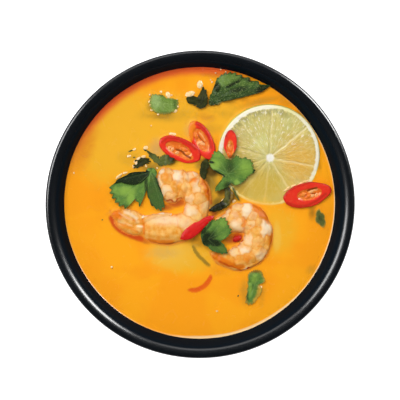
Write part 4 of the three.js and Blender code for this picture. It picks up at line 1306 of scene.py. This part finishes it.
# the soup: its surface climbs a little at the bowl's wall and at whatever breaks it, and what lies
# just below it shows through. clearDepth lists how deep each thing shows fully, and where it is gone.
# Four degrees are where a tint sets in round the wall, is full, lessens and ends.
soup = {
    "cells": 280, "depth": 46, "rings": 7, "overlap": 0.05,
    "climb": 0.8, "climbWidth": 0.75, "climbCurve": 1.3, "squeezeWidth": 9,
    "shoreRise": 0.4, "shoreWidth": 0.6, "shoreReach": 3, "swell": 0.1, "swellSize": 9,
    "lookFrom": 8, "lookDown": 13,
    "redDeg": (58, 88, 128, 182), "redReach": (0.2, 7.5), "wideHighlightDeg": (255, 270, 300, 325),
    "faintHighlightDeg": (25, 45, 245, 268), "noHighlightDeg": (45, 60, 180, 200),
    "clearDepth": {"limeUnder": (0.5, 2), "fleshUnder": (0.1, 3.4),
                   "chilliUnder": (0.2, 2.6), "herbUnder": (0.2, 2.4)},
    "orange": tint(249, 158, 18),
    "gold": tint(251, 166, 20),
    "yellow": tint(238, 174, 38),
    "pale": tint(238, 184, 64),
    # the red is painted shade with chilli oil along the upper wall
    "redOilAndShade": tint(236, 96, 40),
    # the brown and the deep orange below it are mostly painted shadows
    "shadowBrown": tint(98, 72, 24),
    "shadowOrange": tint(190, 88, 30),
    "tan": tint(206, 160, 90),
    "olive": tint(158, 124, 42),
    "ember": tint(204, 74, 18),
    "fleshGhost": tint(234, 142, 52),
    "chilliGhost": tint(224, 68, 18),
    "herbGhost": tint(128, 104, 36),
    "filmGhost": tint(236, 186, 62),
    # the pale shore line is a painted highlight on the meniscus
    "shoreHighlight": tint(240, 206, 150),
    # Painted shadows: the brown marks, the deep orange marks and the olive marks, but for olive's stroke
    # along the sunk stalk, are mostly shadows that the leaves, slices and prawns cast on the broth. The
    # ember marks are chilli oil and the sunk chilli, with painted contact shadow along the prawns' tails.
    "marks": {
        "yellow": [
            dab((-44, 36), (21, 25), 1, 0.6, turnDeg=-30), dab((-20, 44), (26, 14), 0.9, 0.6),
            dab((12, 44), (16, 11), 0.8, 0.6), dab((-14, 22), (16, 9), 0.9, 0.6),
            dab((10, 10), (12, 14), 0.8, 0.6), dab((40, -14), (12, 14), 0.7, 0.6),
            dab((-6, -28), (16, 9), 0.8, 0.6),
        ],
        "pale": [dab((-14.8, -26), (14, 8), 0.8, 0.9), dab((40.3, -17.3), (2.4, 8.4), 0.9, 0.6)],
        # painted shadows beside and under the leaves, chilli and prawns
        "shadowBrown": [
            dab((5.7, 17.4), (4.1, 3.1), 1, 0.6, turnDeg=-12), dab((3.6, 11.6), (1.8, 6.2), 0.7, 0.8),
            dab((11.4, 7.4), (3.6, 4.1), 0.8, 0.7), dab((18.2, 4.7), (3.1, 4.1), 0.6, 0.7),
            dab((2.6, 22.6), (3.6, 1.8), 0.8, 0.8, turnDeg=20),
            dab((6.2, 48.6), (7.3, 1.6), 0.25, 0.9, turnDeg=-12),
            dab((-14.6, 24.2), (3.6, 3.1), 0.95, 0.6), dab((-21.8, 46), (6.7, 1.6), 0.4, 0.9),
            dab((-2.1, -18.9), (4.1, 2.6), 0.5, 0.9), dab((58.7, -4.9), (2.1, 4.1), 0.6, 0.9),
            dab((21.7, 55.3), (4.1, 2.1), 0.45, 0.9, turnDeg=-20),
            dab((19.8, -17.4), (3.1, 2.3), 0.35, 0.8), dab((6.2, 67.7), (7.3, 2.1), 0.4, 0.9, turnDeg=-6),
            dab((53, 47.5), (3.6, 2.1), 0.5, 0.9, turnDeg=-40), dab((-0.1, -20.5), (3.6, 2.6), 0.5, 0.9),
            dab((62.2, 19.8), (1.6, 4.7), 0.4, 0.9, turnDeg=8),
            dab((15, 53.7), (4.7, 2.1), 0.5, 0.9, turnDeg=-6),
            dab((44.6, 52.7), (5.2, 3.1), 0.3, 0.9, turnDeg=-30), dab((-0.1, 46.5), (8.3, 3.1), 0.2, 0.9),
            dab((3.6, -31.9), (2.3, 0.9), 0.5, 0.9, turnDeg=-36), dab((8.3, 1.6), (4.7, 4.7), 0.45, 0.9),
            dab((19.3, 2.1), (2.6, 4.1), 0.4, 0.9), dab((4.4, 53.2), (1.8, 3.1), 0.7, 0.9, turnDeg=-10),
        ],
        # mostly painted leaf shadows; the stroke is the sunk stalk
        "olive": [
            dab((4.6, 11.6), (4.1, 10.4), 0.85, 0.7, turnDeg=-10),
            dab((9.9, 0.6), (4.7, 3.1), 0.9, 0.8, turnDeg=35),
            dab((-25, 19.5), (6.7, 2.6), 0.75, 0.8, turnDeg=12), dab((-0.1, 20), (3.1, 2.1), 0.7, 0.8),
            dab((-25.9, 50.7), (2.1, 4.1), 0.6, 0.9), dab((29, 52.7), (14, 2.6), 0.5, 0.9, turnDeg=14),
            dab((-18.2, 46.5), (12.4, 3.6), 0.55, 0.9), dab((5.7, 39.2), (6.2, 3.1), 0.4, 0.9),
            dab((-36.4, 24.3), (6.7, 4.1), 0.4, 0.9), dab((23.1, -46.6), (2.6, 7.3), 0.5, 0.9),
            dab((32.6, -46.7), (2.1, 7.3), 0.4, 0.9), dab((58.9, -35.1), (3.6, 3.1), 0.4, 0.9),
            dab((53.6, 45.9), (4.1, 2.6), 0.5, 0.9, turnDeg=-40), dab((14.5, 47), (5.2, 2.6), 0.35, 0.9),
            stroke([(-4, -21.5), (-1.6, -25.5), (1.5, -30), (4.7, -32.7)], 1.2, 0.4, 0.95),
        ],
        # painted shadows along and between the prawns and under the leaves
        "shadowOrange": [
            dab((-12.1, 0.7), (5.2, 2.3), 1, 0.7, turnDeg=8), dab((-17.3, -1.4), (4.1, 2.1), 0.75, 0.8),
            dab((16.8, -19.3), (4.1, 2.3), 0.7, 0.8), dab((3.6, 45.5), (5.7, 2.6), 0.35, 0.9),
            dab((8.4, -35.3), (6.2, 3.1), 0.3, 0.9, turnDeg=-15), dab((7.3, -4.9), (2.1, 2.3), 0.7, 0.9),
            dab((-28.8, -19.7), (2.9, 1.2), 0.7, 0.9, turnDeg=-18),
            stroke([(-46.8, -3.4), (-46.2, -6), (-45.1, -9)], 0.9, 0.5, 0.95),
            stroke([(-33, -16.8), (-27.8, -19), (-22, -20.7)], 0.8, 0.6, 0.95),
            stroke([(-46.3, -5), (-44.2, -10.7), (-40.5, -14.1), (-35.6, -16.1),
                    (-29.3, -18.4)], 2.4, 0.4, 1),
            stroke([(-23.1, -20.5), (-16.8, -21.4), (-12.1, -20.9), (-7.4, -19.4)], 0.8, 0.45, 0.95),
            stroke([(2.6, 11.6), (4.9, 6.4), (5.7, 0.6)], 0.9, 0.9, 0.9),
            stroke([(31.8, -31.2), (26.2, -33.9), (20.5, -35.1), (14.1, -33.6),
                    (8.3, -30.6)], 0.8, 0.5, 0.95),
        ],
        "ember": [
            dab((19.6, -17.5), (3.1, 2.6), 1, 0.6, turnDeg=10),
            dab((-52.2, -0.2), (4.7, 13.5), 0.22, 1, turnDeg=8),
            dab((-59.2, 29.5), (4.7, 12.4), 0.5, 1, turnDeg=-20),
            stroke([(-46, -7.3), (-44.4, -10.5), (-42, -13.1), (-39.2, -14.8), (-36.6, -15.9),
                    (-34, -17), (-30.9, -18.1)], 1.7, 1, 0.8),
            stroke([(-30.9, -17.6), (-27.8, -18.7), (-24.1, -20.1)], 0.9, 0.5, 0.95),
            stroke([(37.7, -15.9), (37.6, -21.7), (35.5, -27), (31.8, -31)], 0.8, 0.5, 0.95),
            stroke([(-5.8, -45.3), (-1.6, -45.1), (2.6, -42.7), (5.5, -39)], 1.1, 0.5, 1),
        ],
        "tan": [
            dab((-22.4, 29.4), (4.1, 5.2), 0.7, 0.9), dab((-19.4, -25.6), (8.3, 3.1), 0.5, 0.9),
            dab((-5.2, 38.7), (3.6, 4.7), 0.5, 0.9), dab((4.7, -1), (2.6, 2.1), 0.7, 0.8),
        ],
    },
}
soupPaint = ["yellow", "pale", "tan", "olive", "shadowOrange", "ember", "shadowBrown"]


def soupLook(coords):
    names = (*soupPaint, "redOilAndShade", "shoreHighlight", *soup["clearDepth"])
    mark = {name: painted(coords, name) for name in names}
    cloud = grain(coords, 26, detail=3, distortion=0.6)
    swirl = grain(coords, 7, detail=4, roughness=0.6, distortion=1.2)
    fine = grain(coords, 0.8, detail=2)
    colour = blend(fade(cloud, 0.4, 0.62), soup["orange"], soup["gold"])
    colour = lay(colour, soup["yellow"], mark["yellow"], swirl, 0.5, 0.1, 0.9)
    colour = lay(colour, soup["pale"], mark["pale"], swirl, 0.6, 0.15, 0.95)
    # tan, olive, the deep orange, ember and brown in turn; olive, the deep orange and brown are mostly
    # painted shadows
    for name in soupPaint[2:]:
        colour = lay(colour, soup[name], mark[name], swirl, 0.4, 0.05, 1)
    # painted shade, red with chilli oil, along the upper wall
    colour = lay(colour, soup["redOilAndShade"], mark["redOilAndShade"], swirl, 0.25, 0.05, 0.95)
    colour = blend(mark["herbUnder"] * 0.75, colour, soup["herbGhost"])
    colour = blend(mark["chilliUnder"] * 0.7, colour, soup["chilliGhost"])
    colour = blend(mark["fleshUnder"] * 0.7, colour, soup["fleshGhost"])
    film = blend(fade(mark["limeUnder"], 1, 0.35) * 0.7, limeColour(coords)[0], soup["filmGhost"])
    colour = blend(fade(mark["limeUnder"], 0, 0.6), colour, film)
    # painted highlight: the pale line on the meniscus along the lower wall
    colour = blend(mark["shoreHighlight"], colour, soup["shoreHighlight"])
    return {
        "Base Color": blend(fade(fine, 0.62, 0.74) * 0.12, colour, soup["yellow"]),
        "Roughness": 0.2 + swirl * 0.12,
        "Normal": relief(swirl * 0.4 + fine * 0.12, 0.3, 0.35),
    }


# The red along the upper wall, chilli oil with painted shade, and the pale line along the lower wall, a
# painted highlight, by where the wall lies
def wallTints(deg, toWall):
    redOilAndShade = between(deg, *soup["redDeg"]) * (1 - smooth(toWall, *soup["redReach"]))
    width = 0.5 + 0.9 * between(deg, *soup["wideHighlightDeg"])
    film = 0.25 + 0.65 * (1 - between(deg, *soup["faintHighlightDeg"]))
    film *= (1 - smooth(toWall, width, width + 0.5)) * (1 - between(deg, *soup["noHighlightDeg"]))
    return redOilAndShade, film


# How far the nearest of the trees is from a place, where that is within reach
def nearestOf(trees, spot, reach):
    found = [tree.find_nearest(spot, reach * mm) for tree in trees]
    return min((distance / mm for point, *others, distance in found if point is not None), default=None)


# How clearly something below a place shows through the soup, from 0 to 1
def showsUnder(trees, spot, clear, gone):
    above = spot + Vector((0, 0, soup["lookFrom"])) * mm
    hits = [tree.ray_cast(above, Vector((0, 0, -1)), soup["lookDown"] * mm) for tree in trees]
    return max((1 - smooth(distance / mm - soup["lookFrom"], clear, gone)
                for point, *others, distance in hits if point is not None), default=0)


def dressSoup(under, breaking):
    cells = soup["cells"]
    edgeHeight = soupLevel + soup["climb"]
    edge = wallReach(edgeHeight) + soup["overlap"]
    bpy.ops.mesh.primitive_grid_add(x_subdivisions=cells, y_subdivisions=cells, size=2 * mm)
    body = newest("broth")
    graph = bpy.context.evaluated_depsgraph_get()
    shores = [BVHTree.FromObject(piece, graph) for piece in breaking]
    depths = {name: [BVHTree.FromObject(piece, graph) for piece in pieces]
              for name, pieces in under.items()}

    # the grid's square is drawn out to the bowl's round
    def shape(place, normal):
        u, v = place.x, place.y
        x, y = edge * u * math.sqrt(1 - v * v / 2), edge * v * math.sqrt(1 - u * u / 2)
        out = math.hypot(x, y)
        toWall = max(edge - out, 0)
        nearWall = smooth(out, edge - soup["squeezeWidth"], edge)
        inward = 1 - wallSqueeze(Vector((x, y, 0))) * nearWall / (out or 1)
        x, y = x * inward, y * inward
        spot = Vector((x, y, soupLevel)) * mm
        climb = soup["climb"] * math.exp(-((toWall / soup["climbWidth"]) ** soup["climbCurve"]))
        away = nearestOf(shores, spot, soup["shoreReach"])
        shoreRise = 0 if away is None else soup["shoreRise"] * math.exp(-away / soup["shoreWidth"])
        swell = soup["swell"] * bumps(Vector((x, y, 0)), soup["swellSize"], 2)
        z = soupLevel + climb + shoreRise * smooth(toWall, 0, 2) + swell
        ghosts = [showsUnder(depths[name], spot, *limits) for name, limits in soup["clearDepth"].items()]
        tints = wallTints(math.degrees(math.atan2(y, x)) % 360, toWall)
        values = [marksAt(soup["marks"], kind, x, y) for kind in soupPaint]
        return Vector((x, y, z)), *values, *tints, *ghosts

    carve(body, [*soupPaint, "redOilAndShade", "shoreHighlight", *soup["clearDepth"]], shape)
    makeActive(body)
    bpy.ops.object.mode_set(mode="EDIT")
    bpy.ops.mesh.select_all(action="DESELECT")
    mesh = bmesh.from_edit_mesh(body.data)
    for side in mesh.edges:
        side.select_set(side.is_boundary)
    bmesh.update_edit_mesh(body.data)
    levels = [edgeHeight - soup["depth"] * k / soup["rings"] for k in range(1, soup["rings"] + 1)]
    drawRings(edge, edgeHeight, [[wallReach(level) + soup["overlap"], level] for level in levels])
    bpy.ops.mesh.edge_face_add()
    bpy.ops.object.mode_set(mode="OBJECT")
    clean(body)
    material = makeMaterial("creamyBroth", soupLook, {"Specular IOR Level": 0.25})
    finish(body, material, "broth", "soup")
    print("soup poured,", len(body.data.polygons), "faces")


# small froth and crumbs of leaf, in layers: how far above the soup, half height, and the bits in it as
# [place, half size, turn]. The froth is partly real foam; its cream blobs by the wet edges of leaves and
# slices are painted highlights.
frothAndGlints = {
    "colour": tint(254, 226, 176),
    "warm": tint(250, 206, 130),
    "layers": [
        (0.15, 0.55, [
            [(-0.1, 62.3), (1.6, 2.1), 0], [(-5.2, 57.4), (2.6, 1.5), 15], [(-20.2, 58.4), (0.7, 0.8), 0],
            [(-16.6, 56.9), (1.2, 1.8), 20], [(-25.7, 54.3), (0.5, 0.6), 0],
            [(-25.7, 51.7), (0.5, 0.6), 0], [(-13, 48.6), (1.2, 0.8), 20], [(-14.4, 36.6), (2, 0.9), -5],
            [(-28.3, 29.6), (1.3, 1), 15], [(-34.2, 28.8), (1, 0.6), 30], [(-36.9, 25.3), (1.3, 0.7), 12],
            [(-31, 23.5), (1.9, 0.7), 35], [(-29.2, 24.8), (0.8, 0.6), 0],
            [(-42.2, 14.9), (2.3, 0.6), 38], [(-39.1, 16.5), (1.3, 0.6), 15],
            [(-33.4, 2.9), (0.7, 1.2), 0], [(-25.5, 41), (0.4, 0.4), 0], [(6.2, 63.6), (0.5, 0.6), 0],
            [(2.5, 21), (1.2, 0.7), 35], [(12.5, 2.4), (1.8, 0.5), 32], [(31, -41.8), (1.3, 0.6), -12],
            [(32.1, -44), (0.7, 0.7), 0], [(45.4, 7.8), (1.9, 0.5), 38], [(48.8, 9.5), (1.8, 0.5), 22],
            [(52.8, 10.9), (1.6, 0.5), 20], [(55.4, 12), (1.7, 0.5), 14], [(-65.5, 16.6), (0.5, 0.5), 0],
            [(-46.4, -32.9), (0.5, 0.5), 0], [(8.9, -56.6), (0.6, 0.5), 0], [(-22.4, 19), (0.5, 0.5), 0],
            [(-28.1, 20.1), (0.5, 0.8), 20], [(17.7, 1.6), (1.1, 0.7), 30], [(18.6, 69.7), (0.4, 0.4), 0],
            [(13.4, 68.7), (0.4, 0.4), 0], [(30.3, -43.2), (0.9, 0.6), 20], [(-34.7, 19.8), (0.5, 1), 0],
            [(-33.9, 22.4), (0.8, 0.8), 0], [(-32, 24.2), (1.1, 0.5), 20], [(-29.2, 25.2), (1.2, 0.5), 5],
        ]),
        (0.5, 0.45, [
            [(-26.1, 57.1), (0.5, 0.5), 0], [(-26.3, 53.5), (0.5, 0.6), 0],
            [(-25.2, 49.1), (0.6, 0.5), 0], [(-20.2, 58.2), (0.5, 0.5), 0],
            [(-14.8, 56.9), (0.5, 0.4), 0], [(-12, 54.3), (0.5, 0.5), 0], [(-11.5, 50.9), (0.5, 0.6), 0],
            [(-21.8, 46.9), (0.7, 0.4), 0], [(8, 68.2), (0.5, 0.4), 0], [(10.6, 70.1), (0.4, 0.4), 0],
            [(5.4, 64.6), (0.4, 0.6), 0],
        ]),
        (1.3, 0.6, [
            [(-32, 24.1), (1, 0.6), 25], [(-29.5, 24.9), (1.2, 0.5), 10],
            [(-33.2, 21.8), (0.6, 1.1), -10],
        ]),
    ],
}
crumbs = {
    "layers": [
        (0.12, 0.22, [
            [(-36, 28), (1.4, 0.35), 25], [(-28.6, 28.4), (1.1, 0.4), -40],
            [(-34.2, 24.6), (0.6, 0.3), 10], [(-21.6, 24.8), (0.5, 0.35), 80],
            [(15.8, 42.2), (0.5, 0.3), 0], [(-51, -8), (0.4, 0.25), 30], [(20, -48.6), (0.5, 0.3), 60],
        ]),
    ],
}


def frothAndGlintLook(coords):
    cloud = grain(coords, 0.8, detail=3)
    return {
        "Base Color": blend(fade(cloud, 0.35, 0.65), frothAndGlints["warm"], frothAndGlints["colour"]),
        "Normal": relief(grain(coords, 0.3), 0.1, 0.5),
    }


def scatter(name, layers):
    return join(name, [blob((*at, soupLevel + above), (*half, halfHeight), turnDeg)
                       for above, halfHeight, bits in layers for at, half, turnDeg in bits])


def dressFrothAndGlints():
    piece = scatter("frothAndGlints", frothAndGlints["layers"])
    carve(piece, [], lambda place, normal: (place + normal * 0.3 * bumps(place, 0.9, 3),))
    clean(piece)
    finish(piece, makeMaterial("creamFrothAndGlints", frothAndGlintLook, {"Roughness": 0.3}), "broth")


def dressCrumbs(material):
    piece = scatter("herbCrumbs", crumbs["layers"])

    def shape(place, normal):
        return place + normal * 0.12 * bumps(place, 0.5, 7), 0, 0.6, 0, 0

    carve(piece, leafPaint, shape)
    clean(piece)
    finish(piece, material, "herb_dark")
    print("froth and crumbs scattered")


# floor, lights and camera
studio = {
    "target": (-0.46, 3.31, 66), "distance": 720, "tiltDeg": 6.5, "towardsDeg": 110, "lens": 125.98,
    "floorSize": 6000, "farthest": 20000, "sky": 0.42,
    "lights": {
        "overhead": {"towardsDeg": 122, "riseDeg": 62, "away": 1200, "size": (700, 700),
                     "watts": 12.1, "gloss": False},
        "stripRight": {"towardsDeg": 34, "riseDeg": 31, "away": 1000, "size": (420, 380),
                       "watts": 15, "gloss": True},
        "stripLeft": {"towardsDeg": 166, "riseDeg": 38, "away": 1000, "size": (640, 380),
                      "watts": 10, "gloss": True},
        "stripTop": {"towardsDeg": 100, "riseDeg": 32, "away": 1000, "size": (1100, 380),
                     "watts": 3.6, "gloss": True},
    },
}


def directionOf(towardsDeg, riseDeg):
    towards, rise = math.radians(towardsDeg), math.radians(riseDeg)
    return Vector((math.cos(towards) * math.cos(rise), math.sin(towards) * math.cos(rise), math.sin(rise)))


def floorLook(coords):
    cloud = grain(coords, 400, detail=1)
    return {"Base Color": blend(cloud, tint(252, 252, 252), tint(255, 255, 255))}


def setStage():
    bpy.ops.mesh.primitive_plane_add(size=studio["floorSize"] * mm)
    floor = newest("floor")
    fixed = {"Roughness": 0.9, "Specular IOR Level": 0.1,
             "Emission Color": tint(255, 255, 255), "Emission Strength": 1}
    floor.data.materials.append(makeMaterial("paleFloor", floorLook, fixed))
    target = Vector(studio["target"]) * mm
    for name, light in studio["lights"].items():
        direction = directionOf(light["towardsDeg"], light["riseDeg"])
        bpy.ops.object.light_add(type="AREA", location=target + direction * light["away"] * mm)
        lamp = newest(name)
        lamp.rotation_euler = direction.to_track_quat("Z", "Y").to_euler()
        lamp.data.shape = "RECTANGLE"
        lamp.data.size, lamp.data.size_y = light["size"][0] * mm, light["size"][1] * mm
        lamp.data.energy = light["watts"]
        lamp.visible_glossy, lamp.visible_diffuse = light["gloss"], not light["gloss"]
    world = bpy.data.worlds.new("softSky")
    world.use_nodes = True
    sky = world.node_tree.nodes["Background"]
    sky.inputs["Color"].default_value = tint(255, 255, 255)
    sky.inputs["Strength"].default_value = studio["sky"]
    world.cycles_visibility.glossy = False
    bpy.context.scene.world = world
    back = directionOf(studio["towardsDeg"], 90 - studio["tiltDeg"])
    right = Vector((0, 1, 0)).cross(back).normalized()
    turn = Matrix((right, back.cross(right), back)).transposed().to_4x4()
    bpy.ops.object.camera_add()
    camera = newest("camera")
    camera.matrix_world = Matrix.Translation(target + back * studio["distance"] * mm) @ turn
    camera.data.lens = studio["lens"]
    camera.data.clip_end = studio["farthest"] * mm
    bpy.context.scene.camera = camera
    bpy.context.scene.view_settings.view_transform = "Standard"
    print("stage set")


setStage()
dressBowl()
limeSlice = dressLime()
prawnBodies = dressPrawns()
chilliPieces = dressChilli()
leafPieces, leafMaterials = dressLeaves()
chilliMaterial = chilliPieces[0].data.materials[0]
sunkChilli = dressSunk("sunkChilli", chilliMaterial, {"skin": 1, "heart": 0, "seed": 0})
sunkStalk = dressSunk("sunkStalk", leafMaterials["olive"], {"vein": 0, "shade": 0.4, "light": 0, "film": 0})
dressSoup(
    {"limeUnder": [limeSlice], "fleshUnder": prawnBodies,
     "chilliUnder": [sunkChilli], "herbUnder": [sunkStalk]},
    [limeSlice, *prawnBodies, *chilliPieces, *leafPieces],
)
dressFrothAndGlints()
dressCrumbs(leafMaterials["deep"])
